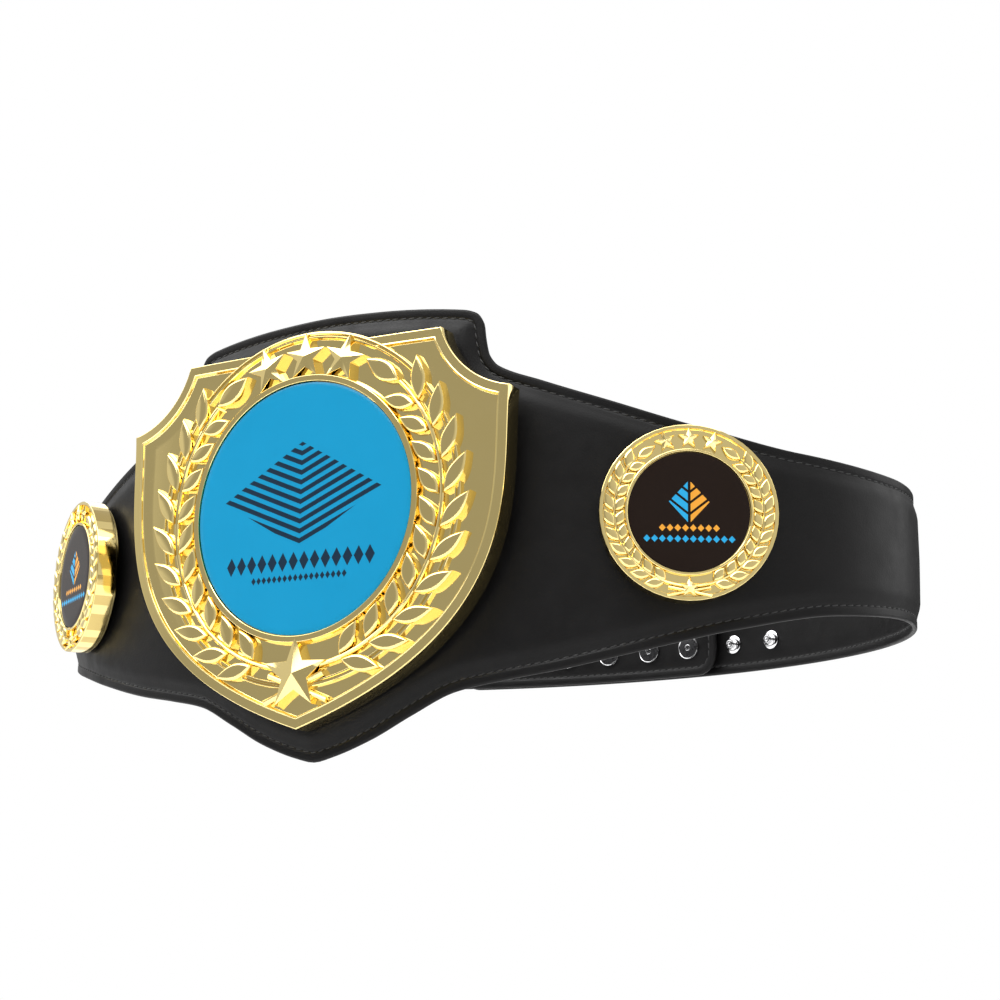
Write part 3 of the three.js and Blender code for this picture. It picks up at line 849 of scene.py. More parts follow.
@dataclass
class LeatherBand:
    """One long padded band whose two ends overlap behind.

    The rows of crest_rows and tip_rows are (share of the reach, share of the rise or drop). The
    rows of station_runs are (share of the reach where a run stops, step between its sections).
    """

    loop: WaistLoop
    strap_height: float = 62.0
    crest_rise: float = 74.0
    tip_drop: float = 65.5
    panel_reach: float = 274.0
    thickness: float = 2.4
    pad_height: float = 2.0
    flange: float = 5.0
    pad_roll: float = 7.5
    pad_fade: float = 24.0
    pad_stop: float = 131.6
    end_radius: float = 12.0
    outer_tail: float = 83.0
    inner_tail: float = 81.0
    overlap_run: float = 90.0
    strap_gap: float = 3.0
    edge_round: float = 1.1
    stitch_inset: float = 4.4
    stitch_pitch: float = 4.1
    stitch_length: float = 2.9
    stitch_radius: float = 0.36
    stitch_sides: int = 6
    stitch_lean: float = 0.10
    stitch_lift: float = 0.12
    tangent_step: float = 0.6
    groove_depth: float = 0.45
    groove_width: float = 0.55
    dent: float = 0.09
    crest_rows: tuple[tuple[float, float], ...] = (
        (0, 1), (0.105, 0.989), (0.252, 0.941), (0.275, 0.914), (0.289, 0.84), (0.2925, 0.745),
        (0.299, 0.645), (0.315, 0.575), (0.385, 0.473), (0.48, 0.353), (0.637, 0.174),
        (0.8, 0.047), (1, 0),
    )
    tip_rows: tuple[tuple[float, float], ...] = (
        (0, 1), (0.033, 0.972), (0.106, 0.865), (0.176, 0.718), (0.25, 0.575), (0.325, 0.512),
        (0.42, 0.445), (0.557, 0.318), (0.695, 0.184), (0.867, 0.056), (1.1, 0),
    )
    edge_rows: tuple[float, ...] = (
        0, 0.12, 0.4, 0.8, 1.2, 2.2, 3.3, 3.8, 4.1, 4.4, 4.7, 5.0, 5.6, 6.6, 8.0, 9.8, 12.0, 15.0, 19.0,
    )
    lining_rows: tuple[float, ...] = (0, 0.12, 0.4, 0.8, 1.2, 3.3, 3.9, 4.4, 4.9, 5.6, 12.0)
    face_columns: int = 9
    lining_columns: int = 4
    pad_share: float = 0.8
    pad_reach: float = 40.0
    edge_samples: int = 33
    sewn_samples: int = 5200
    sewn_end_samples: int = 40
    station_runs: tuple[tuple[float, float], ...] = ((0.20, 3.0), (0.27, 1.2), (0.325, 0.45), (0.5, 2.2))
    strap_step: float = 4.0
    end_insets: tuple[float, ...] = (
        12, 10.5, 9, 7.5, 6.2, 5.2, 4.7, 4.4, 4.1, 3.6, 2.8, 2, 1.2, 0.8, 0.4, 0.12, 0,
    )

    def __post_init__(self) -> None:
        """Prepares the outline's curves."""
        self.crest = SmoothRow(self.crest_rows)
        self.tip = SmoothRow(self.tip_rows)
        self.outer_end = self.loop.half + self.outer_tail
        self.inner_end = self.loop.half + self.inner_tail

    def to_end(self, distance: np.ndarray) -> np.ndarray:
        """How far each place is from its own end of the band."""
        return np.where(distance > 0, self.outer_end - distance, self.inner_end + distance)

    def edge(self, distance: np.ndarray, up: int) -> np.ndarray:
        """The height of the top edge, or of the bottom edge.

        Args:
            distance: distances along the leather.
            up: 1 for the top edge and -1 for the bottom one.

        Returns:
            The edge's height at each distance.
        """
        share = np.abs(distance) / self.panel_reach
        if up > 0:
            swell = self.crest_rise * self.crest.at(share)
        else:
            swell = self.tip_drop * self.tip.at(share)
        short = self.end_radius - np.clip(self.to_end(distance), 0, self.end_radius)
        cut = self.end_radius - np.sqrt(np.maximum(0, self.end_radius**2 - short**2))
        return up * (self.strap_height / 2 + swell - cut)

    def line(self, distance: np.ndarray, inset: float, up: int) -> np.ndarray:
        """The edge moved in square to the outline.

        Args:
            distance: distances along the leather.
            inset: how far the line lies inside the outline.
            up: 1 for the top edge and -1 for the bottom one.

        Returns:
            The line's height at each distance.
        """
        if inset == 0:
            return self.edge(distance, up)
        lowest = np.full_like(distance, np.inf)
        for across in np.linspace(-inset, inset, self.edge_samples):
            reach = math.sqrt(max(0.0, inset * inset - across * across))
            lowest = np.minimum(lowest, up * self.edge(distance + across, up) - reach)
        return up * lowest

    def face_depth(self, distance: np.ndarray) -> np.ndarray:
        """How far the flange's face lies inside the padded line: one end runs under the other."""
        start = 2 * self.loop.half - self.outer_end
        under = ease((-distance - start + self.overlap_run) / self.overlap_run)
        return self.pad_height + under * (self.thickness + self.strap_gap)

    def _rounding(self, inset: np.ndarray) -> np.ndarray:
        """What the rounded edge takes off a face near the outline."""
        short = np.clip(self.edge_round - inset, 0, self.edge_round)
        return self.edge_round - np.sqrt(self.edge_round**2 - short**2)

    def _groove(self, inset: np.ndarray) -> np.ndarray:
        """What the sewn line pulls in."""
        return self.groove_depth * np.exp(-(((inset - self.stitch_inset) / self.groove_width) ** 2))

    def depth(
        self,
        distance: np.ndarray,
        height: np.ndarray,
        inset: np.ndarray,
        face: Face,
    ) -> np.ndarray:
        """How far a point of the leather lies inside the padded line.

        Args:
            distance: distances along the leather.
            height: the points' heights.
            inset: how far they lie inside the outline.
            face: the face that they are on.

        Returns:
            The depths, in millimetres.
        """
        end = self.to_end(distance)
        near = np.minimum(inset, end)
        pulled = self._rounding(near) + self._groove(near)
        flat = self.face_depth(distance)
        if face is Face.INNER:
            return flat + self.thickness - pulled
        before = self.loop.half - self.pad_stop - np.abs(distance)
        pad = self.pad_height * ease(before / self.pad_fade)
        roll = self.pad_share * ease((near - self.stitch_inset) / self.pad_roll)
        rise = roll + (1 - self.pad_share) * ease(near / self.pad_reach)
        soft = np.sin(distance / 17) * np.sin(height / 21 + 1)
        soft += 0.6 * np.sin(distance / 8.3 + height / 13)
        return flat + pulled - pad * rise + self.dent * (1 + soft) * ease(near / 12) * 0.5

    def stations(self) -> np.ndarray:
        """Distances where the band has a section, closest at the steps of its outline.

        Returns:
            The distances from the front centre, from the inner end to the outer one.
        """
        half: list[float] = []
        start = 0.0
        for share, step in self.station_runs:
            stop = share * self.panel_reach
            half.extend(np.linspace(start, stop, round((stop - start) / step) + 1)[1:])
            start = stop
        ends = []
        for end in (self.outer_end, self.inner_end):
            stop = end - self.end_radius
            middle = np.linspace(start, stop, round((stop - start) / self.strap_step) + 1)[1:-1]
            ends.append(np.concatenate([half, middle, end - np.array(self.end_insets)]))
        return np.concatenate([-ends[1][::-1], [0.0], ends[0]])

    def rows(self, stations: np.ndarray, face: Face) -> list[tuple[np.ndarray, np.ndarray]]:
        """The rows of points up one face.

        Args:
            stations: distances along the leather.
            face: the face.

        Returns:
            Heights and insets at each station, row by row from the bottom edge to the top one.
        """
        insets = self.edge_rows if face is Face.OUTER else self.lining_rows
        columns = self.face_columns if face is Face.OUTER else self.lining_columns
        low = [(self.line(stations, w, -1), np.full_like(stations, w)) for w in insets]
        high = [(self.line(stations, w, 1), np.full_like(stations, w)) for w in insets]
        last, first = low[-1][0], high[-1][0]
        between = []
        for k in range(1, columns + 1):
            share = k / (columns + 1)
            level = last + (first - last) * share
            inset = insets[-1] + (first - last) * min(share, 1 - share)
            between.append((level, inset))
        return low + between + high[::-1]

    def _points(self, stations: np.ndarray, height: np.ndarray, depth: np.ndarray) -> np.ndarray:
        """Points at a depth below the padded line."""
        plan, out = self.loop.at(stations)
        return np.column_stack([plan - out * depth[:, None], height])

    def build(self, finish: bpy.types.Material) -> bpy.types.Object:
        """Builds the band.

        Args:
            finish: the leather.

        Returns:
            The band's object.
        """
        stations = self.stations()
        columns = []
        for face in (Face.OUTER, Face.INNER):
            rows = self.rows(stations, face)
            for height, inset in rows if face is Face.OUTER else reversed(rows):
                depth = self.depth(stations, height, inset, face)
                columns.append(self._points(stations, height, depth))
        shell = Shell()
        shell.loft(np.swapaxes(np.array(columns), 0, 1))
        band = shell.write("leather_band", [finish], crease=50)
        return fit_piece(band, Slot.LEATHER, "belt_band")

    def sewn_line(self, face: Face) -> tuple[np.ndarray, np.ndarray]:
        """The closed line of the stitching on one face.

        Args:
            face: the face.

        Returns:
            Points along the line and the directions that face away from the leather there.
        """
        inset = self.stitch_inset
        along = np.linspace(inset - self.inner_end, self.outer_end - inset, self.sewn_samples)
        top = (along, self.line(along, inset, 1))
        bottom = (along[::-1], self.line(along[::-1], inset, -1))
        runs = []
        for (distance, height), (_, following) in ((top, bottom), (bottom, top)):
            rise = np.linspace(height[-1], following[0], self.sewn_end_samples)[1:-1]
            runs += [(distance, height), (np.full_like(rise, distance[-1]), rise)]
        stations = np.concatenate([run[0] for run in runs])
        heights = np.concatenate([run[1] for run in runs])
        depth = self.depth(stations, heights, np.full_like(stations, inset), face)
        _, out = self.loop.at(stations)
        sign = 1.0 if face is Face.OUTER else -1.0
        normals = np.column_stack([sign * out, np.zeros(len(stations))])
        return self._points(stations, heights, depth), normals

    def stitches(self, finish: bpy.types.Material) -> bpy.types.Object:
        """Builds both faces' stitches as one piece.

        Args:
            finish: the thread.

        Returns:
            The stitches' object.
        """
        shell = Shell()
        half = self.stitch_length / 2
        rows = ((-half, 0.3), (-0.8 * half, 0.85), (0, 1.0), (0.8 * half, 0.85), (half, 0.3))
        angles = (np.arange(self.stitch_sides) + 0.5) / self.stitch_sides * 2 * math.pi
        for face in Face:
            line, normals = self.sewn_line(face)
            closed = np.vstack([line, line[:1]])
            lengths = run_lengths(closed)
            number = round(lengths[-1] / self.stitch_pitch)
            marks = (np.arange(number) + 0.5) / number * lengths[-1]
            centres = sample(closed, lengths, marks)
            step = self.tangent_step
            tangents = sample(closed, lengths, marks + step) - sample(closed, lengths, marks - step)
            tangents /= np.linalg.norm(tangents, axis=1, keepdims=True)
            outs = sample(np.vstack([normals, normals[:1]]), lengths, marks)
            for centre, tangent, out in zip(centres, tangents, outs):
                side = np.cross(out, tangent)
                lean = tangent + self.stitch_lean * side
                middle = centre + out * self.stitch_lift
                ring = np.outer(np.cos(angles), side) + 0.8 * np.outer(np.sin(angles), out)
                rings = [middle + lean * x + self.stitch_radius * r * ring for x, r in rows]
                shell.loft(np.array(rings))
        return fit_piece(shell.write("band_stitches", [finish], crease=60), Slot.THREAD)


# Raised work


@dataclass(frozen=True)
class Rises:
    """Heights of the raised work over the rim's face."""

    field: float
    stem: float
    leaf: float
    star_edge: float
    star_peak: float
    foot_peak: float


@dataclass(frozen=True)
class Wreath:
    """Two laurel branches with stars, in shares of the insert's radius and degrees from the top.

    The rows of shoulder are (inset, drop from the leaf's top), and those of crown are (share of a
    ribbon's width, share of its rise).
    """

    stem: float = 1.25
    stem_from: float = 44.0
    stem_to: float = 172.0
    stem_width: float = 0.045
    first_base: float = 54.8
    pitch: float = 11.8
    pairs: int = 10
    sweep: float = 11.8
    outer_base: float = 1.275
    outer_tip: float = 1.49
    inner_base: float = 1.225
    inner_tip: float = 1.065
    leaf_width: float = 0.127
    end_base: float = 43.4
    end_tip: float = 26.8
    end_width: float = 0.155
    star_radius: float = 1.2
    star_spread: float = 17.5
    star_size: float = 0.19
    foot_star: float = -1.29
    foot_star_size: float = 0.29
    cross_top: float = 0.25
    cross_out: float = 0.29
    cross_down: float = -1.5
    cross_width: float = 0.055
    bevel: float = 0.6
    star_waist: float = 0.42
    leaf_belly: float = 0.9
    leaf_points: int = 13
    shoulder: tuple[tuple[float, float], ...] = (
        (-0.3, -3.2), (-0.15, -2.0), (0.02, -1.42), (0.25, -1.08), (0.6, -0.74), (1.0, -0.44),
        (1.45, -0.2),
        (1.95, -0.05), (2.35, 0.0),
    )
    crown: tuple[tuple[float, float], ...] = (
        (-0.56, 0.0), (-0.5, 0.6), (-0.4, 0.8), (-0.22, 0.95), (0.0, 1.0),
        (0.22, 0.95), (0.4, 0.8), (0.5, 0.6), (0.56, 0.0),
    )
    stem_points: int = 96
    cross_points: int = 14

    @staticmethod
    def around(radius: float, degrees: float, side: int) -> np.ndarray:
        """A point at an angle from the top, to the right for 1 and to the left for -1."""
        angle = math.radians(degrees)
        return np.array([side * radius * math.sin(angle), radius * math.cos(angle)])

    def leaf(
        self,
        shell: Shell,
        base: np.ndarray,
        tip: np.ndarray,
        width: float,
        rises: Rises,
    ) -> None:
        """Adds a leaf with steep sides, full shoulders and a flat top.

        Args:
            shell: the shell that it joins.
            base: its end on the stem.
            tip: its free end.
            width: its greatest width.
            rises: the heights of the raised work.
        """
        axis = tip - base
        length = float(np.linalg.norm(axis))
        across = np.array([-axis[1], axis[0]]) / length
        share = np.linspace(0, 1, self.leaf_points)
        belly = np.sin(math.pi * share**self.leaf_belly)
        rows = [(inset * self.bevel, rises.leaf + drop * self.bevel) for inset, drop in self.shoulder]
        rows[0] = (rows[0][0], rises.field - SINK)
        rings = []
        for inset, level in rows:
            wide = max(0.04, 1 - 2 * inset / width)
            long = max(0.1, 1 - 2.6 * inset / length)
            places = 0.5 + (share - 0.5) * long
            middle = base + np.outer(places, axis)
            half = 0.5 * width * wide * belly
            right = middle - np.outer(half, across)
            left = (middle + np.outer(half, across))[1:-1][::-1]
            rings.append(at_level(np.vstack([right, left]), level))
        shell.loft(np.array(rings))

    def star(
        self,
        shell: Shell,
        centre: np.ndarray,
        size: float,
        turn: float,
        rises: Rises,
        peak: float,
    ) -> None:
        """Adds a five-pointed star with ridges to its points.

        Args:
            shell: the shell that it joins.
            centre: its centre.
            size: the distance from its centre to a point.
            turn: how far it is turned, in radians.
            rises: the heights of the raised work.
            peak: the height of its centre.
        """
        angles = math.pi / 2 + turn + np.arange(10) * math.pi / 5
        reach = np.where(np.arange(10) % 2 == 0, 1.0, self.star_waist)
        way = np.column_stack([np.cos(angles), np.sin(angles)]) * reach[:, None]
        edge = 0.12 * self.bevel
        rows = (
            (size + 2 * edge, rises.field - SINK), (size + edge, rises.star_edge - 3 * edge),
            (size, rises.star_edge - edge), (size - 2 * edge, rises.star_edge),
        )
        rings = [at_level(centre + way * scale, level) for scale, level in rows]
        shell.loft(np.array(rings), end=False)
        shell.peak(rings[-1], (centre[0], centre[1], peak))

    def ribbon(self, shell: Shell, line: np.ndarray, width: float, low: float, high: float) -> None:
        """Adds a rounded ribbon along a line.

        Args:
            shell: the shell that it joins.
            line: the points of its middle line.
            width: its width.
            low: the height of its base.
            high: the height of its crown.
        """
        step = np.gradient(line, axis=0)
        step /= np.linalg.norm(step, axis=1, keepdims=True)
        across = np.column_stack([-step[:, 1], step[:, 0]])
        rings = [
            [(*(point + side * width * u), low + rise * (high - low)) for u, rise in self.crown]
            for point, side in zip(line, across)
        ]
        shell.loft(np.array(rings))

    def add(self, shell: Shell, unit: float, rises: Rises) -> None:
        """Adds the whole wreath.

        Args:
            shell: the shell that it joins.
            unit: the insert's radius.
            rises: the heights of the raised work.
        """
        low = rises.field - SINK
        for side in (1, -1):
            angles = np.linspace(self.stem_from, self.stem_to, self.stem_points)
            stem = np.array([self.around(self.stem * unit, a, side) for a in angles])
            self.ribbon(shell, stem, self.stem_width * unit, low, rises.stem)
            for i in range(self.pairs):
                base = self.first_base + i * self.pitch
                tip = base - self.sweep
                pair = ((self.outer_base, self.outer_tip), (self.inner_base, self.inner_tip))
                for foot, point in pair:
                    ends = self.around(foot * unit, base, side), self.around(point * unit, tip, side)
                    self.leaf(shell, *ends, self.leaf_width * unit, rises)
            ends = (self.around(self.stem * unit, a, side) for a in (self.end_base, self.end_tip))
            self.leaf(shell, *ends, self.end_width * unit, rises)
            line = np.linspace(
                (side * self.cross_top * unit, self.foot_star * unit),
                (-side * self.cross_out * unit, self.cross_down * unit),
                self.cross_points,
            )
            self.ribbon(shell, line, self.cross_width * unit, low, rises.stem)
        for place in (-1, 0, 1):
            centre = self.around(self.star_radius * unit, self.star_spread * abs(place), place or 1)
            turn = -place * math.radians(self.star_spread)
            self.star(shell, centre, self.star_size * unit, turn, rises, rises.star_peak)
        foot = np.array([0.0, self.foot_star * unit])
        self.star(shell, foot, self.foot_star_size * unit, 0.0, rises, rises.foot_peak)


@dataclass
class ShieldPlate:
    """The shield-shaped centre plate with its wreath, its bezel and its printed disc."""

    disc_radius: float = 57.0
    disc_thickness: float = 1.6
    disc_rise: float = 1.9
    depth: float = 11.4
    bend_radius: float = 1190.0
    above: float = 13.8
    front: float = 129.5
    gap: float = 0.3
    top_half_width: float = 68.6
    top_height: float = 73.8
    shoulder: tuple[float, float] = (101.5, 44.7)
    notch_radius: float = 41.5
    flank_upper: tuple[float, float] = (98.0, 1.0)
    flank_lower: tuple[float, float] = (114.6, -61.0)
    point_depth: float = 97.3
    rim: float = 5.0
    chamfer: float = 0.4
    bezel: float = 3.0
    bezel_rise: float = 2.6
    ring_inner: float = 1.35
    ring_outer: float = 1.41
    ring_rise: float = 0.8
    ring_clear: float = 0.55
    screw_heights: tuple[float, float] = (42.0, -58.0)
    rises: Rises = Rises(field=-1.2, stem=2.0, leaf=2.8, star_edge=2.5, star_peak=3.9, foot_peak=4.3)
    wreath: Wreath = Wreath()
    arc_points: int = 26
    top_points: int = 10
    notch_points: int = 22
    flank_points: int = 60
    flank_samples: int = 1200
    field_steps: int = 6
    sides: int = 240

    def __post_init__(self) -> None:
        """Finds the centre that the notches are cut round."""
        top = np.array([self.top_half_width, self.top_height])
        chord = np.array(self.shoulder) - top
        length = float(np.linalg.norm(chord))
        lift = math.sqrt(self.notch_radius**2 - length**2 / 4)
        self.notch = top + chord / 2 + np.array([-chord[1], chord[0]]) / length * lift

    def place(self, points: np.ndarray) -> np.ndarray:
        """Bends flat work round the body and puts it in the frame.

        Args:
            points: flat points, with X to the right, Y up and Z out of the plate.

        Returns:
            The points in the frame.
        """
        angle = points[:, 0] / self.bend_radius
        reach = self.bend_radius + points[:, 2]
        middle = -self.front - self.gap - self.depth + self.bend_radius
        level = self.above + points[:, 1]
        return np.column_stack([reach * np.sin(angle), middle - reach * np.cos(angle), level])

    def _flank(self, inset: float) -> tuple[np.ndarray, np.ndarray]:
        """The flank moved in, from the shoulder to the point.

        Args:
            inset: how far it is moved in.

        Returns:
            Its points and their distances from the centre of the notch.
        """
        t = np.linspace(0, 1, self.flank_samples)[:, None]
        point = (0.0, -self.point_depth)
        a, b, c, d = np.array([self.shoulder, self.flank_upper, self.flank_lower, point])
        curve = (1 - t) ** 3 * a + 3 * t * (1 - t) ** 2 * b + 3 * t * t * (1 - t) * c + t**3 * d
        slope = (1 - t) ** 2 * (b - a) + 2 * t * (1 - t) * (c - b) + t * t * (d - c)
        slope /= np.linalg.norm(slope, axis=1, keepdims=True)
        moved = curve + inset * np.column_stack([slope[:, 1], -slope[:, 0]])
        return moved, np.linalg.norm(moved - self.notch, axis=1)

    def outline(self, inset: float) -> np.ndarray:
        """The plate's outline moved in, with the same number of points for every inset.

        Args:
            inset: how far the line lies inside the plate's edge.

        Returns:
            The flat points, clockwise from the top centre.
        """
        share = min(inset, self.rim) / self.rim
        ring = (self.ring_outer + (self.ring_inner - self.ring_outer) * share) * self.disc_radius
        ring -= max(0.0, inset - self.rim)
        level = self.top_height - inset
        radius = self.notch_radius + inset
        start = math.atan2(math.sqrt(ring**2 - level**2), level)
        arc = np.linspace(0, start, self.arc_points)
        bulge = np.column_stack([ring * np.sin(arc), ring * np.cos(arc)])
        corner = self.notch[0] - math.sqrt(radius**2 - (level - self.notch[1]) ** 2)
        straight = np.linspace(bulge[-1], (corner, level), self.top_points + 1)[1:]
        flank, away = self._flank(inset)
        first = int(np.argmax(away >= radius - 1e-9))
        last = len(flank) - 1 if inset == 0 else int(np.argmax(flank[:, 0] <= 0))
        run = flank[first:last + 1].copy()
        run[-1, 0] = 0.0
        steps = run_lengths(run)
        side = sample(run, steps, np.linspace(0, steps[-1], self.flank_points))
        ends = [point - self.notch for point in (straight[-1], side[0])]
        turns = [math.atan2(end[1], end[0]) % (2 * math.pi) for end in ends]
        bow = np.linspace(*turns, self.notch_points + 1)[1:-1]
        hollow = self.notch + radius * np.column_stack([np.cos(bow), np.sin(bow)])
        half = np.vstack([bulge, straight, hollow, side])
        mirrored = half[1:-1][::-1] * np.array([-1.0, 1.0])
        return np.vstack([half, mirrored])

    def _slab(self, shell: Shell) -> None:
        """Adds the plate's body: its walls, rim and field, the seat of its disc and its back.

        Args:
            shell: the shell that they join.
        """
        low, back, rim = self.rises.field, -self.depth, self.rim
        foot = rim + self.chamfer
        rows = (
            (0.7, back), (0.15, back + 0.2), (0.0, back + 0.7), (0.0, -0.55), (0.06, -0.28),
            (0.2, -0.08), (0.42, 0.0), (0.52, 0.0), (rim - 1.0, 0.0), (rim - 0.9, 0.0),
            (rim - 0.8, 0.02), (rim - 0.66, 0.12), (rim - 0.46, 0.17), (rim - 0.26, 0.12),
            (rim - 0.1, -0.05), (rim, -0.3), (foot - 0.15, low + 0.2), (foot, low + 0.05),
            (foot + 0.15, low),
        )
        rings = [at_level(self.outline(inset), level) for inset, level in rows]
        outer = rings[-1]
        angle = np.arctan2(outer[:, 1], outer[:, 0])
        seat = np.column_stack([np.cos(angle), np.sin(angle)]) * (self.disc_radius + 1)
        for k in range(1, self.field_steps + 1):
            share = k / self.field_steps
            rings.append(at_level(outer[:, :2] * (1 - share) + seat * share, low))
        for scale, level in ((1.0, -0.2), (0.99, -0.05), (0.6, -0.05), (0.25, -0.05)):
            rings.append(at_level(seat * scale, level))
        inner = [at_level(rings[0][:, :2] * scale, back) for scale in (0.2, 0.45, 0.7, 0.9)]
        shell.loft(np.array(inner + rings))

    def _hoops(self, shell: Shell) -> None:
        """Adds the bezel round the disc and the double ring behind the wreath.

        Args:
            shell: the shell that they join.
        """
        r, low, top = self.disc_radius, self.rises.field - SINK, self.bezel_rise
        edge = r + self.bezel
        bezel = (
            (r + 0.05, -0.1), (r + 0.05, top - 0.4), (r + 0.12, top - 0.15), (r + 0.32, top),
            (r + 0.42, top), (edge - 0.5, top), (edge - 0.4, top), (edge - 0.18, top - 0.12),
            (edge - 0.02, top - 0.4), (edge + 0.9, low),
        )
        shell.loft(hoop_rings(bezel, self.sides), wrap=True)
        inner, outer = self.ring_inner * r, self.ring_outer * r - self.ring_clear
        top = self.ring_rise
        third = (outer - inner) / 3
        double_ring = (
            (inner - 0.15, low), (inner, top - 0.4), (inner + 0.2, top - 0.1), (inner + 0.5, top),
            (inner + third - 0.1, top - 0.05), (inner + third + 0.25, top - 0.75),
            (outer - third - 0.25, top - 0.75), (outer - third + 0.1, top - 0.05),
            (outer - 0.5, top), (outer - 0.2, top - 0.1), (outer, top - 0.4), (outer, low),
        )
        shell.loft(hoop_rings(double_ring, self.sides), wrap=True)

    def build(self, finishes: Finishes) -> list[bpy.types.Object]:
        """Builds the plate and its disc.

        Args:
            finishes: the shared materials.

        Returns:
            The two objects.
        """
        shell = Shell()
        self._slab(shell)
        self._hoops(shell)
        self.wreath.add(shell, self.disc_radius, self.rises)
        plate = shell.write("shield_plate", [finishes.gold], self.place)
        return [fit_piece(plate, Slot.GOLD, "center_plate"), self._disc()]

    def _disc(self) -> bpy.types.Object:
        """Builds the printed disc.

        Returns:
            The disc's object.
        """
        r, top = self.disc_radius - self.gap, self.disc_rise
        low = top - self.disc_thickness
        profile = [
            (0.35 * r, low), (r - 0.2, low), (r, low + 0.2), (r, top - 0.25), (r - 0.08, top - 0.07),
            (r - 0.3, top),
        ]
        profile += [(r * share, top) for share in (0.95, 0.85, 0.7, 0.55, 0.4, 0.25, 0.1)]
        ink = (0.006, 0.02, 0.04)
        finish = PrintedDisc(
            name="blue_printed_disc", radius=self.disc_radius, right=(1.0, 0.0, 0.0),
            centre=(0.0, -self.front - self.depth, self.above),
            ground=(0.003, 0.215, 0.40), inks=(ink, ink),
            crest_up=0.10, crest_wide=0.74, crest_tall=0.42,
            chevrons=13.0, chevron_slope=0.42, chevron_share=0.52, split=0.0,
            rows=((-0.42, 0.70, 0.10, 0.075, 0), (-0.55, 0.45, 0.05, 0.03, 0)),
            roughness=(0.10, 0.16), specular=0.3,
        ).material()
        disc = turned_piece("blue_disc", profile, self.sides, [finish], self.place)
        return fit_piece(disc, Slot.BLUE, "center_disc")


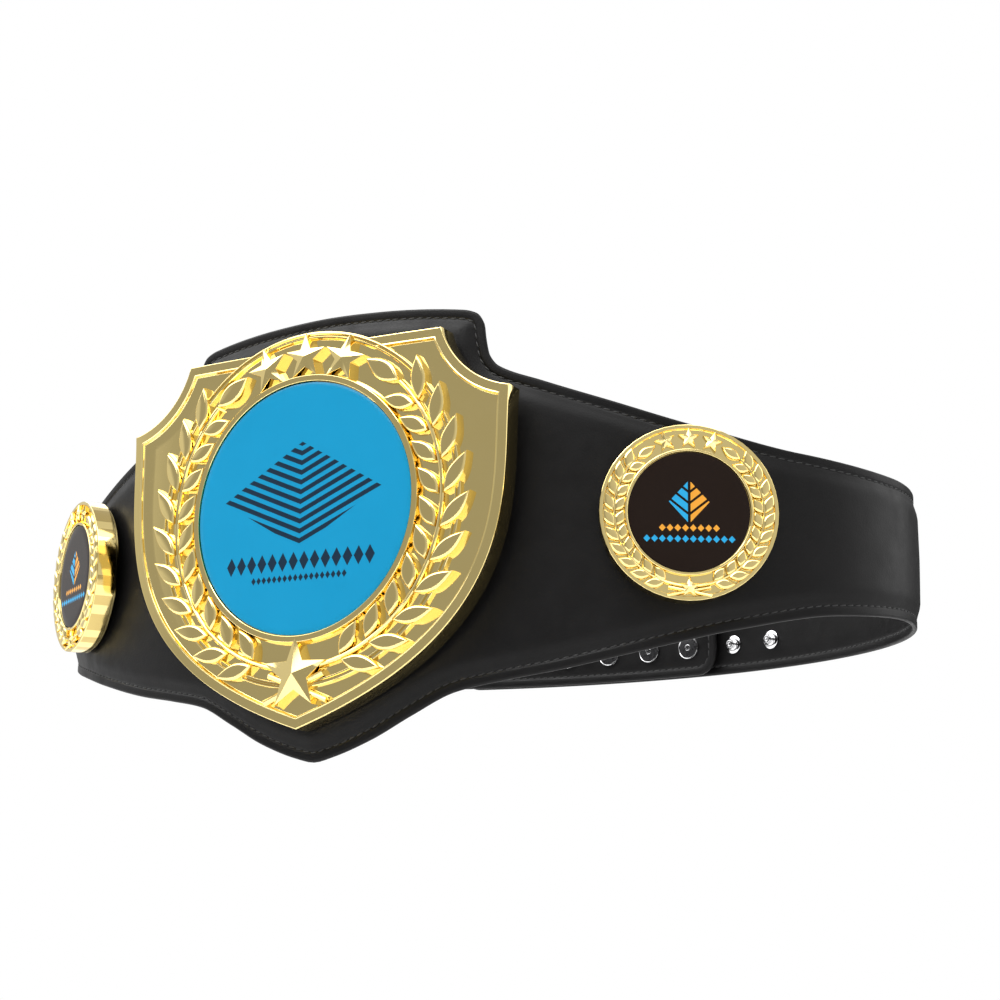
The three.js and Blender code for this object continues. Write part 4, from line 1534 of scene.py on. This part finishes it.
@dataclass
class Medallion:
    """A round side plate with a faceted edge, a low wreath and a printed disc."""

    side: Side
    loop: WaistLoop
    disc_radius: float = 25.7
    disc_thickness: float = 1.2
    disc_rise: float = 0.4
    radius: float = 37.5
    depth: float = 10.5
    rim: float = 1.7
    field: float = -1.5
    bezel: float = 1.2
    bezel_rise: float = 0.8
    along: float = 168.1
    level: float = 3.7
    lean: float = math.radians(1.5)
    seat_gap: float = 0.4
    gap: float = 0.3
    sides: int = 144
    floor: float = -1.1
    facets: int = 48
    facet_cuts: tuple[float, ...] = (0.0, 0.15, 0.04, 0.12, 0.0, 0.08)
    # Which facets of the wall take the darker gold, in order round it: 1 marks a facet with painted shade.
    facet_painted_shade: tuple[int, ...] = (0, 1, 0, 1, 0, 1, 1, 0, 1, 0, 1, 0)
    wall_ring: int = 4
    foot_depth: float = 1.3
    foot_inset: float = 1.6
    wreath: Wreath = Wreath(
        stem=1.215, stem_from=44, stem_to=174, stem_width=0.06, sweep=13.2, outer_base=1.235, outer_tip=1.395,
        inner_base=1.195, inner_tip=1.063, leaf_width=0.165, end_base=43.4, end_tip=26.5, end_width=0.16,
        star_radius=1.225, star_spread=18, star_size=0.175, foot_star=-1.235, foot_star_size=0.18,
        cross_top=0.34, cross_out=0.36, cross_down=-1.37, cross_width=0.06, bevel=0.5, leaf_points=11,
    )
    rises: Rises = Rises(field=-1.5, stem=0.55, leaf=0.85, star_edge=0.5, star_peak=1.35, foot_peak=1.35)

    def __post_init__(self) -> None:
        """Finds where the medallion sits on the leather."""
        sign = self.side.value
        plan, out = self.loop.at(np.array([sign * self.along]))
        turn = sign * (math.atan2(abs(out[0, 0]), -out[0, 1]) + self.lean)
        self.facing = np.array([math.sin(turn), -math.cos(turn), 0.0])
        self.right = np.array([math.cos(turn), math.sin(turn), 0.0])
        seat = np.array([*plan[0], self.level])
        self.centre = seat + self.facing * (self.depth + self.seat_gap)
        self.place = placing(self.centre, self.right, self.facing)

    def _body(self, shell: Shell) -> None:
        """Adds the faceted wall on its narrower foot, the rim, the field, the seat and the bezel.

        Args:
            shell: the shell that they join.
        """
        r, low, back, disc = self.radius, self.field, -self.depth, self.disc_radius
        foot, rim = back + self.foot_depth, r - self.rim
        rows = (
            (0.3 * r, back), (r - self.foot_inset, back), (r - self.foot_inset, foot), (r - 0.3, foot),
            (r, foot + 0.3), (r, -0.35), (r - 0.12, -0.1), (r - 0.3, 0.0), (r - 0.38, 0.0),
            (rim + 0.33, 0.0), (rim + 0.25, 0.0), (rim + 0.05, -0.06), (rim - 0.02, -0.2),
            (rim - 0.2, low + 0.15), (rim - 0.35, low), (disc + 1.0, low), (disc + 0.9, self.floor),
            (0.3 * r, self.floor),
        )
        rings = turned_rings(rows, self.facets)
        cuts = np.resize(self.facet_cuts, self.facets)
        wall = self.wall_ring
        rings[wall:wall + 2, :, :2] *= (1 - cuts / r)[None, :, None]
        first = len(shell.faces) + wall * self.facets
        shell.loft(rings, flat=frozenset({wall}))
        # Alternate facets of the wall take the darker gold: painted shade in stripes, standing in for
        # reflections.
        painted_shades = np.resize(self.facet_painted_shade, self.facets).tolist()
        shell.indices[first:first + self.facets] = painted_shades
        top, edge = self.bezel_rise, disc + self.bezel
        bezel = (
            (disc + 0.03, self.floor), (disc + 0.03, top - 0.3), (disc + 0.09, top - 0.1),
            (disc + 0.22, top), (disc + 0.28, top), (edge - 0.38, top), (edge - 0.32, top),
            (edge - 0.12, top - 0.12), (edge, top - 0.4), (edge + 0.15, low - 0.2),
        )
        shell.loft(hoop_rings(bezel, self.sides), wrap=True)

    def build(self, finishes: Finishes) -> list[bpy.types.Object]:
        """Builds the medallion and its disc.

        Args:
            finishes: the shared materials.

        Returns:
            The two objects.
        """
        word = self.side.name.lower()
        shell = Shell()
        self._body(shell)
        self.wreath.add(shell, self.disc_radius, self.rises)
        # The second material is the darker gold of painted shade on the wall's facets.
        plate = shell.write(f"medallion_{word}", [finishes.gold, finishes.shaded_gold], self.place)
        fit_piece(plate, Slot.GOLD, f"side_plate_{word}")
        r, top = self.disc_radius - self.gap, self.disc_rise
        low = top - self.disc_thickness
        profile = [(0.35 * r, low), (r, low), (r, top - 0.15), (r - 0.05, top - 0.04), (r - 0.18, top)]
        profile += [(r * share, top) for share in (0.8, 0.55, 0.3, 0.1)]
        finish = PrintedDisc(
            name=f"black_printed_disc_{word}", radius=self.disc_radius, right=tuple(self.right),
            centre=tuple(self.centre),
            ground=(0.011, 0.006, 0.004), inks=((0.025, 0.33, 0.62), (0.72, 0.32, 0.04)),
            crest_up=0.16, crest_wide=0.33, crest_tall=0.36,
            chevrons=5.5, chevron_slope=0.8, chevron_share=0.72, split=0.022,
            rows=((-0.27, 0.50, 0.125, 0.06, 1), (-0.45, 0.75, 0.125, 0.06, 0)),
            roughness=(0.04, 0.07), specular=0.12,
        ).material()
        insert = turned_piece(f"black_disc_{word}", profile, self.sides, [finish], self.place)
        return [plate, fit_piece(insert, Slot.BLACK, f"side_disc_{word}")]


# Fasteners


@dataclass
class SnapClosure:
    """Two rows of snaps through the overlapping strap ends.

    The profiles are (radius, depth below the padded line) pairs, in millimetres.
    """

    loop: WaistLoop
    pitch: float = 26.0
    first: float = -40.4
    pairs: int = 5
    free: int = 2
    row_spacing: float = 32.0
    sides: int = 40
    crease: float = 40.0
    stud_profile: tuple[tuple[float, float], ...] = (
        (0.4, 0.4), (2.2, 0.42), (4.0, 0.55), (5.3, 0.82), (6.05, 1.2), (6.25, 1.5), (6.1, 1.7),
        (5.4, 1.7), (2.4, 1.7), (2.4, 4.7), (4.4, 4.7), (4.7, 4.85), (4.75, 5.1), (4.5, 5.3),
        (3.0, 5.35), (2.35, 5.5), (2.0, 5.9), (1.95, 6.6), (2.3, 7.3), (2.35, 7.8), (2.05, 8.25),
        (1.5, 8.4), (1.1, 8.3), (0.95, 7.7), (0.3, 7.7),
    )
    cap_profile: tuple[tuple[float, float], ...] = (
        (0.4, 8.7), (2.5, 8.7), (2.5, 5.9), (2.8, 5.6), (4.5, 5.6), (4.8, 5.9), (4.8, 7.1),
        (3.3, 7.1), (3.3, 10.1), (5.8, 10.1), (6.2, 10.3), (6.25, 10.7), (6.05, 11.05),
        (5.75, 11.1), (5.5, 10.95), (5.4, 10.75), (3.6, 10.95), (1.7, 11.05), (1.6, 11.3),
        (1.3, 11.4), (0.95, 11.35), (0.85, 11.0), (0.3, 11.0),
    )
    bright_rings: frozenset[int] = frozenset((9, 10, 11, 12, 13, 17, 18, 19, 20))

    def seat(self, column: int, row: int) -> Place:
        """Where one snap sits.

        Args:
            column: its place along the strap.
            row: 0 for the lower row and 1 for the upper one.

        Returns:
            What moves points on the snap's axis to the frame.
        """
        distance = self.loop.half - self.first - column * self.pitch
        plan, out = self.loop.at(np.array([distance]))
        origin = np.array([*plan[0], (row - 0.5) * self.row_spacing])
        inward = np.array([-out[0, 0], -out[0, 1], 0.0])
        return placing(origin, np.array([-inward[1], inward[0], 0.0]), inward)

    def build(self, finishes: Finishes) -> list[bpy.types.Object]:
        """Builds every snap.

        Args:
            finishes: the shared materials.

        Returns:
            The objects.
        """
        stud = ("stud", self.stud_profile, [finishes.nickel], frozenset(), Slot.BRIGHT_METAL)
        metals = [finishes.enamel, finishes.nickel]
        cap = ("cap", self.cap_profile, metals, self.bright_rings, Slot.DARK_METAL)
        made = []
        for row, word in enumerate(("lower", "upper")):
            for column in range(self.pairs + self.free):
                place = self.seat(column, row)
                for kind, profile, looks, bright, slot in (stud, cap)[:2 if column < self.pairs else 1]:
                    name = f"{kind}_{word}_{column + 1}"
                    piece = turned_piece(
                        name, profile, self.sides, looks, place, self.crease, bright=bright
                    )
                    made.append(fit_piece(piece, slot, f"snap_{name}"))
        return made


@dataclass
class PlateScrew:
    """A plain screw with a round head inside the band, which holds a plate."""

    node: str
    origin: np.ndarray
    inward: np.ndarray
    head_depth: float = 5.0
    head_radius: float = 5.0
    head_thickness: float = 1.6
    shaft_radius: float = 2.0
    bite: float = 6.3
    sides: int = 36
    crease: float = 40.0

    def build(self, finishes: Finishes) -> bpy.types.Object:
        """Builds the screw.

        Args:
            finishes: the shared materials.

        Returns:
            The object.
        """
        r, d, t = self.head_radius, self.head_depth, self.head_thickness
        profile = (
            (0.3, -self.bite), (self.shaft_radius - 0.4, -self.bite),
            (self.shaft_radius, 0.4 - self.bite),
            (self.shaft_radius, d), (r - 0.15, d), (r, d + 0.15), (r - 0.05, d + 0.45 * t),
            (0.86 * r, d + 0.8 * t),
            (0.6 * r, d + 0.97 * t), (0.35 * r, d + t), (0.3 * r, d + t), (0.28 * r, d + 0.4 * t),
            (0.1, d + 0.4 * t),
        )
        place = placing(self.origin, np.cross(UP, self.inward), self.inward)
        name = f"screw_{self.node}"
        piece = turned_piece(name, profile, self.sides, [finishes.nickel], place, self.crease)
        return fit_piece(piece, Slot.BRIGHT_METAL, self.node)


# Studio


@dataclass(frozen=True)
class SoftBox:
    """A soft lamp that is aimed at the belt."""

    name: str
    azimuth: float
    elevation: float
    distance: float
    width: float
    height: float
    brightness: float

    def build(self) -> None:
        """Makes the lamp. Its azimuth is measured from the front, positive to the right."""
        lamp = bpy.data.lights.new(self.name, "AREA")
        lamp.shape = "RECTANGLE"
        lamp.size, lamp.size_y = self.width, self.height
        lamp.energy = self.brightness * math.pi * self.width * self.height
        thing = bpy.data.objects.new(self.name, lamp)
        turn, rise = math.radians(self.azimuth), math.radians(self.elevation)
        flat = math.cos(rise)
        way = Vector((math.sin(turn) * flat, -math.cos(turn) * flat, math.sin(rise)))
        thing.location = way * self.distance
        thing.rotation_euler = way.to_track_quat("Z", "Y").to_euler()
        thing.visible_camera = False
        bpy.context.scene.collection.objects.link(thing)


@dataclass
class Studio:
    """A pale floor, a white backdrop all round, soft lamps and the camera."""

    floor_level: float = -0.262
    floor_radius: float = 1.25
    floor_sides: int = 96
    backdrop_radius: float = 9.0
    backdrop_sides: int = 48
    surround: float = 0.7
    front_level: float = 0.385
    front_sides: tuple[float, float, float, float] = (-54, -45, -12, 70)
    front_ends: tuple[float, float, float, float] = (-0.35, -0.2, 0.40, 0.50)
    rear_level: float = 0.1
    rear_sides: tuple[float, float, float, float] = (-26, -16, 21, 29)
    rear_ends: tuple[float, float, float, float] = (-0.5, -0.4, 0.30, 0.42)
    camera_place: tuple[float, float, float] = (0.5209, -0.8557, -0.1784)
    camera_azimuth: float = 30.475
    camera_rise: float = 12.62
    camera_roll: float = 0.81
    lens: float = 73.77
    sensor: float = 36.0
    clip: tuple[float, float] = (0.02, 40.0)
    lamps: tuple[SoftBox, ...] = (
        SoftBox("high_left_lamp", -48, 50, 2.0, 3.4, 1.7, 2.5),
        SoftBox("high_front_lamp", 30, 58, 2.0, 1.8, 1.0, 3.2),
        SoftBox("crest_lamp", -30, 48, 2.0, 1.2, 0.5, 6.0),
        SoftBox("left_back_lamp", -150, 38, 2.2, 2.4, 1.0, 2.0),
        SoftBox("right_back_lamp", 124, 20, 2.2, 2.0, 1.7, 1.2),
    )

    def _floor(self) -> None:
        """Makes the floor."""
        level = self.floor_level / MM
        profile = [(self.floor_radius / MM * share, level) for share in (1.0, 0.75, 0.5, 0.2)]
        pad = NodePad("pale_floor")
        pad.set(Roughness=0.85)
        pad.feed("Base Color", pad.mix(pad.noise(120), (0.80, 0.80, 0.80), (0.84, 0.84, 0.84)))
        pad.feed("Normal", pad.bump(pad.noise(2), 0.05))
        turned_piece("floor", profile, self.floor_sides, [pad.material], start=False)

    def _backdrop(self) -> None:
        """Makes a white dome that only the camera sees, so that it adds no light of its own."""
        r = self.backdrop_radius / MM
        angles = np.radians(np.linspace(-89, 89, 24))
        profile = [(r * math.cos(angle), r * math.sin(angle)) for angle in angles]
        white = bpy.data.materials.new("white_backdrop")
        white.use_nodes = True
        tree = white.node_tree
        tree.nodes.clear()
        glow = tree.nodes.new("ShaderNodeEmission")
        output = tree.nodes.new("ShaderNodeOutputMaterial")
        tree.links.new(glow.outputs[0], output.inputs["Surface"])
        dome = turned_piece("backdrop", profile, self.backdrop_sides, [white])
        for kind in ("visible_diffuse", "visible_glossy", "visible_transmission", "visible_shadow"):
            setattr(dome, kind, False)

    def _patch(
        self,
        sheet: NodeSheet,
        turn: Socket,
        rise: Socket,
        sides: Sequence[float],
        ends: Sequence[float],
    ) -> Socket:
        """A soft-edged patch of the surroundings.

        Args:
            sheet: where its nodes go.
            turn: the azimuth's socket, in radians.
            rise: the socket of the direction's Z.
            sides: the azimuths, in degrees, where it starts, is whole, is last whole and ends.
            ends: the same for the direction's Z.

        Returns:
            The socket of its share, from 0 to 1.
        """
        shares = []
        for value, (a, b, c, d) in ((turn, [math.radians(side) for side in sides]), (rise, ends)):
            whole = sheet.math("SUBTRACT", 1.0, sheet.ramp(value, c, d))
            shares.append(sheet.math("MULTIPLY", sheet.ramp(value, a, b), whole))
        return sheet.math("MULTIPLY", *shares)

    def _surroundings(self) -> None:
        """Makes pale surroundings that are dimmer in front of the plates and behind the belt."""
        world = bpy.data.worlds.new("studio")
        world.use_nodes = True
        sheet = NodeSheet(world.node_tree)
        split = sheet.tree.nodes.new("ShaderNodeSeparateXYZ")
        place = sheet.tree.nodes.new("ShaderNodeTexCoord")
        sheet.tree.links.new(place.outputs["Generated"], split.inputs[0])
        x, y, z = split.outputs
        ahead = sheet.math("ARCTAN2", x, sheet.math("MULTIPLY", y, -1.0))
        behind = sheet.math("ARCTAN2", x, y)
        front = self._patch(sheet, ahead, z, self.front_sides, self.front_ends)
        rear = self._patch(sheet, behind, z, self.rear_sides, self.rear_ends)
        level = self.surround
        for patch, dimmed in ((front, self.front_level), (rear, self.rear_level)):
            level = sheet.math("SUBTRACT", level, sheet.math("MULTIPLY", patch, self.surround - dimmed))
        glow = sheet.tree.nodes["Background"]
        glow.inputs["Color"].default_value = (1.0, 1.0, 1.0, 1.0)
        sheet.tree.links.new(level, glow.inputs["Strength"])
        bpy.context.scene.world = world

    def _camera(self) -> None:
        """Makes the camera at the photograph's angle."""
        lens = bpy.data.cameras.new("camera")
        lens.lens, lens.sensor_width = self.lens, self.sensor
        lens.clip_start, lens.clip_end = self.clip
        camera = bpy.data.objects.new("camera", lens)
        turn, rise = math.radians(self.camera_azimuth), math.radians(self.camera_rise)
        flat = math.cos(rise)
        way = Vector((-math.sin(turn) * flat, math.cos(turn) * flat, math.sin(rise)))
        roll = Quaternion((0, 0, 1), math.radians(self.camera_roll))
        camera.location = self.camera_place
        camera.rotation_mode = "QUATERNION"
        camera.rotation_quaternion = way.to_track_quat("-Z", "Y") @ roll
        bpy.context.scene.collection.objects.link(camera)
        bpy.context.scene.camera = camera

    def build(self) -> None:
        """Makes the whole studio."""
        bpy.context.scene.view_settings.view_transform = "Standard"
        self._surroundings()
        self._camera()
        self._floor()
        self._backdrop()
        for lamp in self.lamps:
            lamp.build()


def plate_screws(shield: ShieldPlate, medallions: Sequence[Medallion]) -> list[PlateScrew]:
    """The screws behind the plates.

    Args:
        shield: the centre plate.
        medallions: the side plates.

    Returns:
        The screws, ready to build.
    """
    inward = np.array([0.0, 1.0, 0.0])
    screws = []
    for word, level in zip(("upper", "lower"), shield.screw_heights):
        origin = np.array([0.0, -shield.front, level])
        screws.append(PlateScrew(f"plate_screw_{word}", origin, inward))
    for medallion in medallions:
        seat = medallion.centre - medallion.facing * (medallion.depth + medallion.seat_gap)
        screws.append(PlateScrew(f"side_screw_{medallion.side.name.lower()}", seat, -medallion.facing))
    return screws


def main() -> None:
    """Builds the belt and its studio."""
    logging.basicConfig(level=logging.INFO, format="%(name)s: %(message)s")
    finishes = Finishes.make()
    loop = WaistLoop()
    Studio().build()
    band = LeatherBand(loop)
    band.build(finishes.leather)
    band.stitches(finishes.thread)
    shield = ShieldPlate()
    shield.build(finishes)
    medallions = [Medallion(side, loop) for side in Side]
    for medallion in medallions:
        medallion.build(finishes)
    for screw in plate_screws(shield, medallions):
        screw.build(finishes)
    SnapClosure(loop).build(finishes)


if __name__ == "__main__":
    main()
